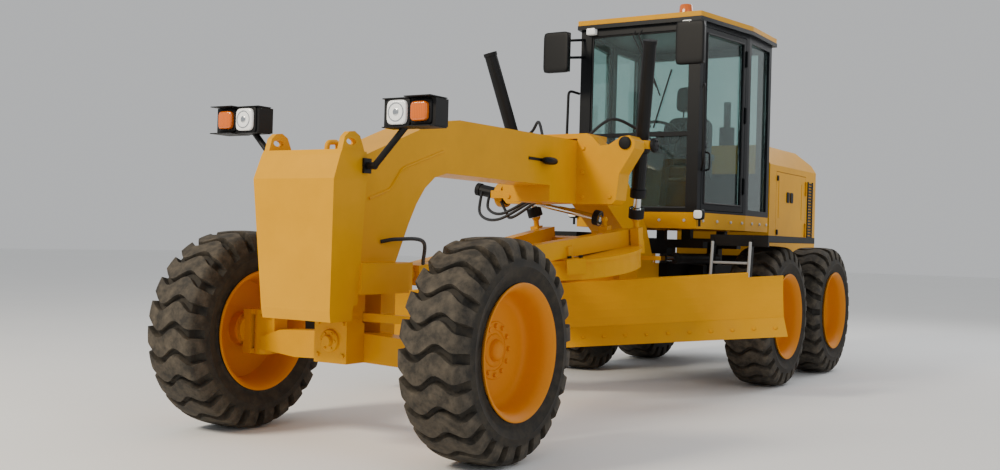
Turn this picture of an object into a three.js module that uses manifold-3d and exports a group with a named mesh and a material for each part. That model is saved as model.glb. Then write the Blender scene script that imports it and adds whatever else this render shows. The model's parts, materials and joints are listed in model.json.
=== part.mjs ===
// Motor grader: articulated frame, tandem rear wheels, leaning front wheels, a drawbar with
// circle and blade under the gooseneck, and an enclosed cab. Millimetres, +X forward, +Y to
// the machine's left, +Z up. The model's origin is on the ground, midway along the machine.
// Inside the file, x is measured from the middle of the tandem and heights are those of a
// machine on tyres of RATED_TYRE_RADIUS.
import * as THREE from 'three';
import { mergeVertices } from 'three/addons/utils/BufferGeometryUtils.js';
import Module from 'manifold-3d';

const wasm = await Module();
wasm.setup();

// ---- driving dimensions -------------------------------------------------------------------
const WHEELBASE = 5790;          // tandem middle to front axle
const MIDDLE_X = 2052;           // tandem middle to the middle of the whole machine
const TYRE_RADIUS = 675;
const RATED_TYRE_RADIUS = 675;
const TYRE_WIDTH = 450;
const WHEEL_SIDES = 28;          // facets round a wheel, one of them flat on the ground
const RIM_RADIUS = 404;          // outside of the rim's flange
const FRONT_TRACK = 2030;
const REAR_TRACK = 1982;
const TANDEM_TYRE_GAP = 224;     // between the two tyres of a tandem
const FIT = 0.3;                 // gap between pieces that touch
const RUN = 6;                   // gap between pieces that pass each other

const FRAME_WIDTH = 340;         // box of the gooseneck
const FRAME_TOP = 2165;
const FRAME_UNDER = 1770;
const NECK_LENGTH = 4290;        // front axle back to the articulation pivot
const PIVOT_RADIUS = 110;
const PIVOT_LOW = 740;
const PIVOT_HIGH = 1180;

const CAB_FRONT_X = 1700;
const CAB_LENGTH = 1560;
const CAB_FRONT_WIDTH = 1240;
const CAB_REAR_WIDTH = 1520;
const CAB_FLOOR = 1630;
const CAB_CEILING = 3395;
const CAB_WALL = 60;
const TRANSOM_HEIGHT = 2357;     // bar across the front, between its two panes
const GLASS = 8;

const HOOD_FRONT_X = -560;
const HOOD_LENGTH = 1690;
const HOOD_WIDTH = 1070;
const HOOD_TOP = 2450;
const HOOD_UNDER = 1230;
const HOOD_WALL = 30;

const BALL_BACK = 450;           // front axle back to the drawbar's ball
const BALL_HEIGHT = 1070;
const DRAWBAR_LENGTH = 2312;     // ball to the middle of the circle, along the drawbar
const BALL_RISE = 172;           // ball above the drawbar's plate
const DRAWBAR_PITCH = THREE.MathUtils.degToRad(9);
const BLADE_YAW = THREE.MathUtils.degToRad(30.5);
const PLATE_RADIUS = 640;
const PLATE_THICKNESS = 25;
const CIRCLE_RADIUS = 625;
const CIRCLE_INNER = 500;
const CIRCLE_DEPTH = 135;
const BLADE_LENGTH = 3660;
const BLADE_SHIFT = 20;          // blade to the left of the circle's middle, along itself
const BLADE_DROP = 856;          // cutting edge below the drawbar's plate
const BLADE_THICKNESS = 22;
const EDGE_THICKNESS = 20;

// ---- what follows from them ---------------------------------------------------------------
const HUB = TYRE_RADIUS * Math.cos(Math.PI / WHEEL_SIDES);
const RIDE = TYRE_RADIUS - RATED_TYRE_RADIUS;
const RATED_HUB = HUB - RIDE;
const TANDEM_SPACING = 2 * TYRE_RADIUS + TANDEM_TYRE_GAP;
const PIVOT_X = WHEELBASE - NECK_LENGTH;
const FRAME_HALF = FRAME_WIDTH / 2;
const BALL_X = WHEELBASE - BALL_BACK;
const SIDES = { left: 1, right: -1 };
const CAB_REAR_X = CAB_FRONT_X - CAB_LENGTH;
const BEND_X = CAB_FRONT_X - 900;        // where the side walls stop tapering
const FRONT_HALF = CAB_FRONT_WIDTH / 2;
const REAR_HALF = CAB_REAR_WIDTH / 2;
const WALL_ANGLE = Math.atan2(REAR_HALF - FRONT_HALF, CAB_FRONT_X - BEND_X);
const WALL_RUN = Math.hypot(REAR_HALF - FRONT_HALF, CAB_FRONT_X - BEND_X);

// ---- materials ----------------------------------------------------------------------------
const paint = (color, roughness = 0.45, metalness = 0) => () =>
  new THREE.MeshStandardMaterial({ color, roughness, metalness });
const yellow = paint(0xf2b51e);
const amberRim = paint(0xe39220);
const rubber = paint(0x35332f, 0.9);
const slate = paint(0x3a3f44, 0.5);
const black = paint(0x1c1d1f, 0.6);
const chrome = paint(0xc8c8c8, 0.2, 1);
const iron = paint(0x4a4d50, 0.6, 0.5);
const seatCloth = paint(0x26282b, 0.95);
const glass = () => new THREE.MeshStandardMaterial({
  color: 0x6f9a93, roughness: 0.08, metalness: 0, transparent: true, opacity: 0.4,
});

// ---- making, placing, joining and cutting solids ------------------------------------------
const points = (list) => list.map(([a, b]) => new THREE.Vector2(a, b));
const outline = (list) => new THREE.Shape(points(list));
const slab = (shape, depth, curveSegments = 6) =>
  new THREE.ExtrudeGeometry(shape, { depth, bevelEnabled: false, curveSegments });
const shapeOf = (list) => (list instanceof THREE.Shape ? list : outline(list));

// Profile in X and Z, from y0 to y1.
function sidePlate(list, y0, y1) {
  return slab(shapeOf(list), y1 - y0).rotateX(Math.PI / 2).translate(0, y1, 0);
}
// Profile in Y and Z, from x0 to x1.
function crossPlate(list, x0, x1) {
  const turn = new THREE.Matrix4().makeBasis(
    new THREE.Vector3(0, 1, 0), new THREE.Vector3(0, 0, 1), new THREE.Vector3(1, 0, 0));
  return slab(shapeOf(list), x1 - x0).applyMatrix4(turn).translate(x0, 0, 0);
}
// Profile in X and Y, from z0 to z1.
function levelPlate(list, z0, z1) {
  return slab(shapeOf(list), z1 - z0).translate(0, 0, z0);
}
// Box between two corners.
function block([x0, y0, z0], [x1, y1, z1]) {
  return new THREE.BoxGeometry(x1 - x0, y1 - y0, z1 - z0)
    .translate((x0 + x1) / 2, (y0 + y1) / 2, (z0 + z1) / 2);
}
// Round bar of radius r from point a to point b.
function bar(a, b, r, sides = 16, rEnd = r) {
  const from = new THREE.Vector3(...a);
  const along = new THREE.Vector3(...b).sub(from);
  const turn = new THREE.Quaternion().setFromUnitVectors(
    new THREE.Vector3(0, 1, 0), along.clone().normalize());
  return new THREE.CylinderGeometry(rEnd, r, along.length(), sides)
    .applyQuaternion(turn).translate(...from.addScaledVector(along, 0.5).toArray());
}
const ball = ([x, y, z], r, sides = 12) =>
  new THREE.SphereGeometry(r, sides, sides / 2).translate(x, y, z);
// Square-section beam from a to b, w wide and h high, kept upright.
function beam(a, b, w, h) {
  const from = new THREE.Vector3(...a);
  const along = new THREE.Vector3(...b).sub(from);
  const x = along.clone().normalize();
  const y = new THREE.Vector3(0, 0, 1).cross(x).normalize();
  const z = x.clone().cross(y);
  return new THREE.BoxGeometry(along.length(), w, h)
    .applyMatrix4(new THREE.Matrix4().makeBasis(x, y, z))
    .translate(...from.addScaledVector(along, 0.5).toArray());
}
// Ring of the profile (radius, y), turned round the Y axis.
const turned = (profile, sides = WHEEL_SIDES) =>
  new THREE.LatheGeometry(points(profile), sides, Math.PI / sides);

function signedVolume(geometry) {
  const p = geometry.attributes.position;
  const index = geometry.index.array;
  const [a, b, c] = [0, 1, 2].map(() => new THREE.Vector3());
  let volume = 0;
  for (let i = 0; i < index.length; i += 3) {
    [a, b, c].forEach((v, k) => v.fromBufferAttribute(p, index[i + k]));
    volume += a.dot(b.cross(c)) / 6;
  }
  return volume;
}

// Only positions, shared vertices merged, faces pointing out.
function closed(geometry) {
  const bare = geometry.clone();
  bare.deleteAttribute('normal');
  bare.deleteAttribute('uv');
  const merged = mergeVertices(bare, 1e-3);
  const index = merged.index.array;
  const kept = [];
  for (let i = 0; i < index.length; i += 3) {
    const [a, b, c] = [index[i], index[i + 1], index[i + 2]];
    if (a !== b && b !== c && a !== c) kept.push(a, b, c);
  }
  merged.setIndex(kept);
  if (signedVolume(merged) < 0) {
    for (let i = 0; i < kept.length; i += 3) [kept[i + 1], kept[i + 2]] = [kept[i + 2], kept[i + 1]];
    merged.setIndex(kept);
  }
  return merged;
}

function solid(geometry) {
  if (geometry instanceof wasm.Manifold) return geometry;
  const g = closed(geometry);
  return new wasm.Manifold(new wasm.Mesh({
    numProp: 3,
    vertProperties: new Float32Array(g.attributes.position.array),
    triVerts: new Uint32Array(g.index.array),
  }));
}
const join = (...pieces) => pieces.map(solid).reduce((a, b) => a.add(b));
const cut = (piece, ...tools) => tools.map(solid).reduce((a, b) => a.subtract(b), solid(piece));
const keep = (piece, tool) => solid(piece).intersect(solid(tool));

function geometryOf(piece) {
  if (!(piece instanceof wasm.Manifold)) return closed(piece);
  const mesh = piece.getMesh();
  const g = new THREE.BufferGeometry();
  g.setAttribute('position', new THREE.BufferAttribute(new Float32Array(mesh.vertProperties), 3));
  g.setIndex(new THREE.BufferAttribute(new Uint32Array(mesh.triVerts), 1));
  return g;
}
const mirrored = (piece, side) => (side > 0 ? piece : closed(geometryOf(piece).scale(1, -1, 1)));

const machine = new THREE.Group();
machine.position.set(-MIDDLE_X, 0, RIDE);

function node(name, piece, material, parent = machine) {
  const mesh = new THREE.Mesh(geometryOf(piece), material());
  mesh.name = name;
  parent.add(mesh);
  return mesh;
}

// ---- wheels -------------------------------------------------------------------------------
const HALF_TYRE = TYRE_WIDTH / 2;
const BEAD = 389;
const FRONT_HUB_IN = 60;         // wheel's middle plane in to the front hub's inner face
const REAR_HUB_IN = 245;
const SHOULDER = 60;

function tyreSolid() {
  const side = [
    [BEAD, HALF_TYRE - 21], [RIM_RADIUS + 4, HALF_TYRE - 21], [RIM_RADIUS + 40, HALF_TYRE - 3],
    [TYRE_RADIUS - SHOULDER, HALF_TYRE], [TYRE_RADIUS, HALF_TYRE - SHOULDER],
  ];
  return turned([...side, ...side.map(([r, y]) => [r, -y]).reverse(), side[0]]);
}

// Deep dish with its disc set inboard, flanges outside the tyre's beads and a hub behind.
function rimSolid(side, hubIn) {
  const lip = HALF_TYRE + 1;
  const barrel = BEAD - FIT;
  const profile = [
    [0, 75], [95, 75], [110, 30], [345, 30], [372, lip], [RIM_RADIUS, lip], [RIM_RADIUS, lip - 16],
    [barrel, lip - 16], [barrel, 16 - lip], [RIM_RADIUS, 16 - lip], [RIM_RADIUS, -lip],
    [372, -lip], [345, 5], [115, 5], [115, -hubIn], [0, -hubIn],
  ];
  return turned(profile.map(([r, y]) => [r, y * side]));
}

function wheel(name, x, track, side, hubIn) {
  const group = new THREE.Group();
  group.position.set(x, side * track / 2, RATED_HUB);
  machine.add(group);
  node(`${name}_tyre`, tyreSolid(), rubber, group);
  node(`${name}_rim`, rimSolid(side, hubIn), amberRim, group);
}

for (const [hand, side] of Object.entries(SIDES)) {
  wheel(`front_${hand}`, WHEELBASE, FRONT_TRACK, side, FRONT_HUB_IN);
  wheel(`middle_${hand}`, TANDEM_SPACING / 2, REAR_TRACK, side, REAR_HUB_IN);
  wheel(`rear_${hand}`, -TANDEM_SPACING / 2, REAR_TRACK, side, REAR_HUB_IN);
}

// ---- front axle: beam, leaning yokes, steering knuckles, lean bar ---------------------------
const KINGPIN_Y = FRONT_TRACK / 2 - 215;
const LEAN_Y = KINGPIN_Y - 95;
const LEAN_Z = RATED_HUB - 85;
const LEAN_BAR_Z = LEAN_Z + 230;
const AXLE_HALF = 80;
const YOKE_HALF = 62;

function frontAxle() {
  const low = LEAN_Z - 45;
  const profile = [
    [-LEAN_Y - 45, low + 12], [-LEAN_Y + 260, low - 20], [-150, low - 10], [150, low - 10],
    [LEAN_Y - 260, low - 20], [LEAN_Y + 45, low + 12], [LEAN_Y + 45, low + 95],
    [LEAN_Y - 120, low + 150], [150, low + 170], [-150, low + 170], [-LEAN_Y + 120, low + 150],
    [-LEAN_Y - 45, low + 95],
  ];
  const body = crossPlate(profile, WHEELBASE - AXLE_HALF, WHEELBASE + AXLE_HALF);
  const forks = Object.values(SIDES).map((side) => mirrored(block(
    [WHEELBASE - YOKE_HALF - RUN, LEAN_Y - 98, low - 30],
    [WHEELBASE + YOKE_HALF + RUN, LEAN_Y + 200, low + 200]), side));
  const pins = Object.values(SIDES).map((side) => bar(
    [WHEELBASE - AXLE_HALF, side * LEAN_Y, LEAN_Z], [WHEELBASE + AXLE_HALF, side * LEAN_Y, LEAN_Z],
    25, 20));
  return join(cut(body, ...forks), ...pins);
}

// The yoke swings on the lean pin and carries the kingpin.
function yoke(side) {
  const x0 = WHEELBASE - YOKE_HALF;
  const x1 = WHEELBASE + YOKE_HALF;
  const inner = LEAN_Y - 60;
  const outer = KINGPIN_Y + 8;
  const profile = [
    [inner, LEAN_Z - 40], [outer, LEAN_Z - 40], [outer, LEAN_BAR_Z - 40],
    [KINGPIN_Y - YOKE_HALF - 10, LEAN_BAR_Z - 40], [LEAN_Y + 20, LEAN_BAR_Z + 45],
    [LEAN_Y - 50, LEAN_BAR_Z + 45], [LEAN_Y - 55, LEAN_BAR_Z - 50], [inner, LEAN_Z + 70],
  ];
  const hole = bar([x0 - 1, LEAN_Y, LEAN_Z], [x1 + 1, LEAN_Y, LEAN_Z], 25 + 3 * FIT, 20);
  const boss = bar([WHEELBASE, KINGPIN_Y, LEAN_Z - 40], [WHEELBASE, KINGPIN_Y, LEAN_BAR_Z - 40],
    YOKE_HALF, 20);
  return mirrored(cut(join(crossPlate(profile, x0, x1), boss), hole), side);
}

// Ears above and below the kingpin's boss, a spindle out to the hub and a steering arm behind.
function knuckle(side) {
  const low = LEAN_Z - 40 - FIT;
  const high = LEAN_BAR_Z - 40 + FIT;
  const ear = 34;
  const back = YOKE_HALF + RUN;
  const hubFace = FRONT_TRACK / 2 - FRONT_HUB_IN - FIT;
  const x = WHEELBASE;
  const piece = join(
    bar([x, KINGPIN_Y, low - ear], [x, KINGPIN_Y, low], YOKE_HALF, 20),
    bar([x, KINGPIN_Y, high], [x, KINGPIN_Y, high + ear], YOKE_HALF, 20),
    block([x - 45, KINGPIN_Y, low - ear], [x + 45, hubFace - 20, low]),
    block([x - 45, KINGPIN_Y, high], [x + 45, hubFace - 20, high + ear]),
    block([x - 60, KINGPIN_Y + back, low - ear], [x + 60, hubFace - 20, high + ear]),
    bar([x, hubFace - 30, RATED_HUB], [x, hubFace, RATED_HUB], 100, 20),
    beam([x - 20, KINGPIN_Y, low - 28], [x - 220, KINGPIN_Y, low - 28], 56, 18),
  );
  return mirrored(piece, side);
}

function leanBar() {
  const x0 = WHEELBASE + YOKE_HALF + FIT;
  const eyes = Object.values(SIDES).map((side) =>
    bar([x0, side * LEAN_Y, LEAN_BAR_Z], [x0 + 30, side * LEAN_Y, LEAN_BAR_Z], 42, 20));
  return join(block([x0, -LEAN_Y, LEAN_BAR_Z - 26], [x0 + 30, LEAN_Y, LEAN_BAR_Z + 26]), ...eyes);
}

node('front_axle', frontAxle(), yellow);
node('lean_bar', leanBar(), yellow);
for (const [hand, side] of Object.entries(SIDES)) {
  node(`wheel_yoke_${hand}`, yoke(side), yellow);
  node(`knuckle_${hand}`, knuckle(side), yellow);
}

// ---- where the articulation cylinders are held: tongue on the front frame, ball on the rear one
const STEER_PIN = [PIVOT_X + 470, 350, 1200];
const TONGUE_HALF = 20;
const STEER_ANCHOR = [PIVOT_X - 900, 400, 1200];
const CLEVIS_BALL = 40;

// ---- front frame: gooseneck, nose, lift saddle ----------------------------------------------
const NECK_FOOT_Z = 970;
const FOOT_HALF = 300;
const NOSE_BACK_X = WHEELBASE + 330;
const SADDLE_X = BALL_X - 2170;  // front face of the lift saddle
const AXLE_LOW = LEAN_Z - 55;
const BALL_RADIUS = 70;
const SOCKET_RADIUS = (BALL_RADIUS + FIT) / Math.cos(Math.PI / 16) ** 2;

function neckOutline() {
  const n = WHEELBASE;
  const p = PIVOT_X;
  const s = new THREE.Shape();
  s.moveTo(n + 330, NECK_FOOT_Z);
  s.lineTo(n + 330, 1795);
  s.lineTo(n + 140, 1838);
  s.lineTo(n - 580, 2107);
  s.lineTo(n - 860, FRAME_TOP - 15);
  s.lineTo(p + 1440, FRAME_TOP);
  s.lineTo(p + 1150, FRAME_TOP - 50);
  s.lineTo(p + 760, FRAME_TOP - 250);
  s.lineTo(p + 290, 1465);
  s.lineTo(p + 165, PIVOT_HIGH + 50);
  s.lineTo(p + 165, PIVOT_HIGH - FIT);
  s.lineTo(p, PIVOT_HIGH - FIT);
  s.lineTo(p, PIVOT_LOW + FIT);
  s.lineTo(p + 260, PIVOT_LOW + FIT);
  s.lineTo(p + 560, 1130);
  s.lineTo(p + 760, 1430);
  s.lineTo(p + 1200, 1700);
  s.lineTo(p + 1500, 1700);
  s.lineTo(p + 1640, 1640);
  s.lineTo(p + 2140, 1640);
  s.lineTo(p + 2140, FRAME_UNDER);
  s.lineTo(n - 720, FRAME_UNDER);
  s.bezierCurveTo(n - 420, FRAME_UNDER - 20, n - 300, 1400, n - 170, NECK_FOOT_Z + 190);
  s.lineTo(n - 150, NECK_FOOT_Z);
  return s;
}

function frontFrame() {
  const n = WHEELBASE;
  const neck = sidePlate(neckOutline(), -FRAME_HALF, FRAME_HALF);
  const foot = block([n - 150, -FOOT_HALF, NECK_FOOT_Z], [n + 330, FOOT_HALF, NECK_FOOT_Z + 190]);
  const brackets = [[AXLE_HALF + FIT, AXLE_HALF + 170], [-AXLE_HALF - 150, -AXLE_HALF - FIT]];
  const pads = brackets.map(([a, b]) => block([n + a, -130, AXLE_LOW], [n + b, 130, NECK_FOOT_Z + 10]));
  const notch = block([n + 60, -140, LEAN_BAR_Z - 36], [n + 99, 140, LEAN_BAR_Z + 36]);
  const hub = bar([PIVOT_X, 0, PIVOT_LOW + FIT], [PIVOT_X, 0, PIVOT_HIGH - FIT], PIVOT_RADIUS, 24);
  const bore = bar([PIVOT_X, 0, PIVOT_LOW - 50], [PIVOT_X, 0, PIVOT_HIGH + 50], 52, 24);
  const [ax, ay, az] = STEER_PIN;
  const tongues = Object.values(SIDES).map((side) => mirrored(join(
    block([ax - 45, 0, az - TONGUE_HALF], [ax + 45, ay, az + TONGUE_HALF]),
    bar([ax, ay, az - TONGUE_HALF], [ax, ay, az + TONGUE_HALF], 45, 20)), side));
  const socket = block([BALL_X - 10, -95, BALL_HEIGHT - 100], [n - 140, 95, BALL_HEIGHT + 88]);
  return cut(join(neck, foot, ...pads, hub, ...tongues, socket), bore, notch,
    ball([BALL_X, 0, BALL_HEIGHT], SOCKET_RADIUS, 16));
}

// Weight on the nose: a front plate with folded sides, a sloped top edge and two lifting eyes.
function nose() {
  const x0 = NOSE_BACK_X + FIT;
  const reach = 300;
  const low = 876;
  const profile = [
    [x0, 905], [x0 + 40, 905], [x0 + 45, 812], [x0 + reach - 60, 812], [x0 + reach - 48, low],
    [x0 + reach, 1654], [x0 + reach - 58, 1800], [x0 + reach - 75, 1830], [x0, 1830],
  ];
  const half = 318;
  const body = sidePlate(profile, -half, half);
  const taper = Object.values(SIDES).map((side) => mirrored(crossPlate(
    [[half - 50, 800], [half + 60, 800], [half + 60, 1900], [half - 8, 1900], [half, 1654]],
    x0 - 5, x0 + reach + 5), side));
  const eyes = Object.values(SIDES).map((side) => {
    const shape = outline([
      [x0 + 10, 1820], [x0 + reach - 75, 1820], [x0 + reach - 100, 1905], [x0 + reach - 140, 1938],
      [x0 + 110, 1945], [x0 + 60, 1920],
    ]);
    const hole = new THREE.Path();
    hole.absellipse(x0 + 140, 1880, 45, 20, 0, 2 * Math.PI, true);
    shape.holes.push(hole);
    return mirrored(sidePlate(shape, half - 48, half - 10), side);
  });
  return join(cut(body, ...taper), ...eyes);
}

// Plates round the gooseneck that hold the lift and centre-shift cylinders.
const LIFT_BALLS = [[-357, 490, 225], [-357, -490, 225]];   // from the circle's middle
const LIFT_SWIVEL = [BALL_X - 2457, 606, 2140];
const SHIFT_SWIVEL = [BALL_X - 2434, -720, 1726];
const SHIFT_BALL = [-213, 266, 231];   // from the circle's middle, in the drawbar's frame
const SHIFT_BALL_RADIUS = 28;          // small in its cup, which takes up the cylinder's drift
const SWIVEL_BALL = 84;

function saddle() {
  const x1 = SADDLE_X + 30;
  const wing = (side) => [
    [side * (FRAME_HALF + FIT), 1640], [side * 500, 1640], [side * 534, 1674], [side * 560, 1888],
    [side * 690, 2090], [side * 690, 2150], [side * 640, 2195], [side * 570, 2188],
    [side * 462, 2125], [side * 380, 2118], [side * 300, 2200], [side * 250, 2222],
    [side * (FRAME_HALF + FIT), 2222],
  ];
  const plates = Object.values(SIDES).flatMap((side) => [
    crossPlate(wing(side), SADDLE_X - 160, x1),
    mirrored(block([SADDLE_X - 300, FRAME_HALF + FIT, 1770], [SADDLE_X - 100, 420, 1900]), side),
  ]);
  const cap = block([SADDLE_X - 330, -260, FRAME_TOP + 15], [x1, 260, 2222]);
  return join(cut(join(...plates, cap), neckEnvelope()), liftYoke(1), liftYoke(-1), shiftYoke());
}
// The gooseneck's own section, grown by the fit.
function neckEnvelope() {
  return sidePlate([
    [SADDLE_X - 900, 1400], [SADDLE_X + 300, 1400], [SADDLE_X + 300, FRAME_TOP + FIT + 5],
    [PIVOT_X + 1440, FRAME_TOP + FIT + 5], [SADDLE_X - 900, FRAME_TOP + FIT - 100],
  ], -FRAME_HALF - FIT, FRAME_HALF + FIT);
}

// A ring that holds a cylinder's ball collar, with a foot back to its seat.
function swivelRing(centre, axis, foot) {
  const at = (t) => centre.map((c, i) => c + t * axis[i]);
  const bore = (SWIVEL_BALL + FIT) / Math.cos(Math.PI / 24) + FIT;
  return cut(join(bar(at(-34), at(34), bore + 22, 24), foot), bar(at(-90), at(90), bore, 24));
}
function liftYoke(side) {
  const [x, y, z] = LIFT_SWIVEL;
  const foot = block([x + 90, y - 50, z - 34], [SADDLE_X - 150, y + 50, z + 34]);
  return mirrored(swivelRing(LIFT_SWIVEL, [0, 0, 1], foot), side);
}
function shiftYoke() {
  const [x, y, z] = SHIFT_SWIVEL;
  const arm = block([x + 92, y - 34, z - 34], [SADDLE_X - 110, y + 34, z + 34]);
  const cross = block([SADDLE_X - 155, y - 34, z - 34], [SADDLE_X - 110, -450, z + 34]);
  return swivelRing(SHIFT_SWIVEL, [0, 1, 0], join(arm, cross));
}

// Lamp housing on a bent tube from the nose's side: a headlamp and a turn signal side by side.
function headlamp(side) {
  const seatY = 318 + FIT;
  const x = WHEELBASE + 380;
  const housing = block([x - 95, 500, 1965], [x + 30, 870, 2125]);
  const arm = join(
    bar([x - 40, seatY, 1745], [x - 40, seatY + 75, 1745], 22, 12),
    bar([x - 40, seatY + 55, 1735], [x - 40, 620, 1985], 20, 12),
    block([x - 75, seatY, 1700], [x - 5, seatY + 14, 1790]),
  );
  return mirrored(join(housing, arm), side);
}

node('front_frame', frontFrame(), yellow);
node('nose_block', nose(), yellow);
node('lift_saddle', saddle(), yellow);
for (const [hand, side] of Object.entries(SIDES)) node(`headlamp_${hand}`, headlamp(side), black);

// ---- drawbar, circle, blade -----------------------------------------------------------------
const drawbarFrame = new THREE.Group();
drawbarFrame.position.set(BALL_X, 0, BALL_HEIGHT);
drawbarFrame.rotation.y = DRAWBAR_PITCH;
machine.add(drawbarFrame);
const circleFrame = new THREE.Group();
circleFrame.position.set(-DRAWBAR_LENGTH, 0, -BALL_RISE);
circleFrame.rotation.z = BLADE_YAW;
drawbarFrame.add(circleFrame);

// A point given from the circle's middle, along and across the drawbar, in the machine's frame.
function onDrawbar([x, y, z]) {
  const p = new THREE.Vector3(x - DRAWBAR_LENGTH, y, z - BALL_RISE);
  p.applyAxisAngle(new THREE.Vector3(0, 1, 0), DRAWBAR_PITCH);
  return [p.x + BALL_X, p.y, p.z + BALL_HEIGHT];
}

const RING_TOP = -PLATE_THICKNESS - FIT;
const RING_LOW = RING_TOP - CIRCLE_DEPTH;

function drawbar() {
  const cx = -DRAWBAR_LENGTH;
  const top = -BALL_RISE;
  const disc = cut(
    new THREE.CylinderGeometry(PLATE_RADIUS, PLATE_RADIUS, PLATE_THICKNESS, 40)
      .rotateX(Math.PI / 2).translate(cx, 0, top - PLATE_THICKNESS / 2),
    new THREE.CylinderGeometry(250, 250, 3 * PLATE_THICKNESS, 24)
      .rotateX(Math.PI / 2).translate(cx, 0, top),
  );
  const beams = Object.values(SIDES).map((side) => beam(
    [cx - 430, side * 400, top + 60], [-110, side * 30, -20], 100, 140));
  const cross = [
    block([cx - 470, -440, top - 5], [cx - 370, 440, top + 45]),
    block([cx + 480, -330, top - 5], [cx + 560, 330, top + 110]),
  ];
  const tongue = bar([0, 0, 0], [-260, 0, -25], 45, 16);
  const lug = ([x, y, z], radius) => [
    block([cx + x - 45, y - 38, top - 5], [cx + x + 45, y + 38, top + z - 2 * radius]),
    bar([cx + x, y, top + z - 100], [cx + x, y, top + z], 0.6 * radius, 12),
    ball([cx + x, y, top + z], radius),
  ];
  const lugs = [...LIFT_BALLS.flatMap((p) => lug(p, CLEVIS_BALL)), ...lug(SHIFT_BALL, SHIFT_BALL_RADIUS)];
  const shoes = [35, 145, 215, 325].map((angle) =>
    block([PLATE_RADIUS - 20, -75, -100], [PLATE_RADIUS + 75, 75, 20])
      .rotateZ(THREE.MathUtils.degToRad(angle)).translate(cx, 0, top));
  const room = new THREE.CylinderGeometry(CIRCLE_RADIUS + RUN, CIRCLE_RADIUS + RUN, 400, 40)
    .rotateX(Math.PI / 2).translate(cx, 0, top - PLATE_THICKNESS - 200);
  return join(disc, ...beams, ...cross, tongue, ball([0, 0, 0], BALL_RADIUS, 16), ...lugs,
    ...shoes.map((shoe) => cut(shoe, room)));
}

const ARM_Y = 430;
const TILT_PIN = [-360, -690];   // forward of the circle's axis, above the drawbar's plate
const CARRIER_FACE = -275;
const CARRIER_HALF = 30;

function circle() {
  const ring = cut(
    new THREE.CylinderGeometry(CIRCLE_RADIUS, CIRCLE_RADIUS, CIRCLE_DEPTH, 40)
      .rotateX(Math.PI / 2).translate(0, 0, (RING_TOP + RING_LOW) / 2),
    new THREE.CylinderGeometry(CIRCLE_INNER, CIRCLE_INNER, 2 * CIRCLE_DEPTH, 40)
      .rotateX(Math.PI / 2).translate(0, 0, (RING_TOP + RING_LOW) / 2),
  );
  const [px, pz] = TILT_PIN;
  const arm = [
    [-440, RING_LOW + 5], [-270, RING_LOW + 5], [-353, -355], [-353, -385], [px + 43, pz + 60],
    [px + 43, pz - 40], [px - 45, pz - 40], [px - 60, -380],
  ];
  const arms = Object.values(SIDES).map((side) =>
    mirrored(sidePlate(arm, ARM_Y - CARRIER_HALF, ARM_Y + CARRIER_HALF), side));
  const brace = block([px - 50, -ARM_Y, -420], [px - 20, ARM_Y, -320]);
  const holes = bar([px, -ARM_Y - 60, pz], [px, ARM_Y + 60, pz], 22 + 3 * FIT, 16);
  return cut(join(ring, ...arms, brace), holes);
}

const SHIFT_ROD = [-241, -570];
const BARREL_SHELL = 10;

function bladeCarrier() {
  const [px, pz] = TILT_PIN;
  const plate = [
    [px - 45, pz - 45], [CARRIER_FACE, pz - 50], [CARRIER_FACE, -385], [-320, -385],
    [px - 10, pz + 90],
  ];
  const inner = ARM_Y - CARRIER_HALF - FIT;
  const outer = ARM_Y + CARRIER_HALF + FIT;
  const sides = Object.values(SIDES).flatMap((side) => [
    mirrored(sidePlate(plate, inner - 25, inner), side),
    mirrored(sidePlate(plate, outer, outer + 25), side),
    bar([px, side * (inner - 10), pz], [px, side * (outer + 10), pz], 22, 16),
  ]);
  const face = Object.values(SIDES).map((side) => mirrored(
    block([CARRIER_FACE - 14, inner - 25, pz - 50], [CARRIER_FACE, outer + 25, -385]), side));
  const tie = block([CARRIER_FACE - 14, -inner, -600], [CARRIER_FACE, inner, -540]);
  const [sx, sz] = SHIFT_ROD;
  const barrel = bar([sx, -480, sz], [sx, 430, sz], 30, 16);
  const saddles = [-330, 280].map((y) => block([CARRIER_FACE - 10, y, sz - 22], [sx - 15, y + 50, sz + 22]));
  const bore = bar([sx, -480 + BARREL_SHELL, sz], [sx, 440, sz], 20 + FIT, 16);
  return cut(join(...sides, ...face, tie, barrel, ...saddles), bore);
}

function moldboard() {
  const s = new THREE.Shape();
  s.moveTo(-176.2, -712.4);
  s.quadraticCurveTo(-205, -500, -135, -310);
  s.lineTo(-157, -304);
  s.quadraticCurveTo(-229, -500, -199, -708);
  s.lineTo(-212, -737);
  s.lineTo(-136, -814.5);
  s.lineTo(-120.4, -799);
  s.lineTo(-190.5, -727.6);
  const half = BLADE_LENGTH / 2;
  const board = sidePlate(s, BLADE_SHIFT - half, BLADE_SHIFT + half);
  const notches = Object.values(SIDES).map((side) => mirrored(
    block([-300, half - 300, -348], [-100, half + 10, -200]), side).translate(0, BLADE_SHIFT, 0));
  const rails = [-440, -700].map((z) => block(
    [CARRIER_FACE + FIT, -1000, z - 28], [-196, 1000, z + 28]));
  const [sx, sz] = SHIFT_ROD;
  const lug = block([sx - 22, 985, sz - 25], [-205, 1025, sz + 25]);
  const rod = bar([sx, -30, sz], [sx, 990, sz], 20, 16);
  return join(cut(board, ...notches), ...rails, lug, rod);
}

function cuttingEdge() {
  const half = BLADE_LENGTH / 2;
  return sidePlate([[-35, -BLADE_DROP], [-176, -713.3], [-189.6, -727.8], [-63, -BLADE_DROP]],
    BLADE_SHIFT - half, BLADE_SHIFT + half);
}

node('drawbar', drawbar(), yellow, drawbarFrame);
node('circle', circle(), yellow, circleFrame);
node('blade_carrier', bladeCarrier(), yellow, circleFrame);
node('moldboard', moldboard(), yellow, circleFrame);
node('cutting_edge', cuttingEdge(), yellow, circleFrame);

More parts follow.
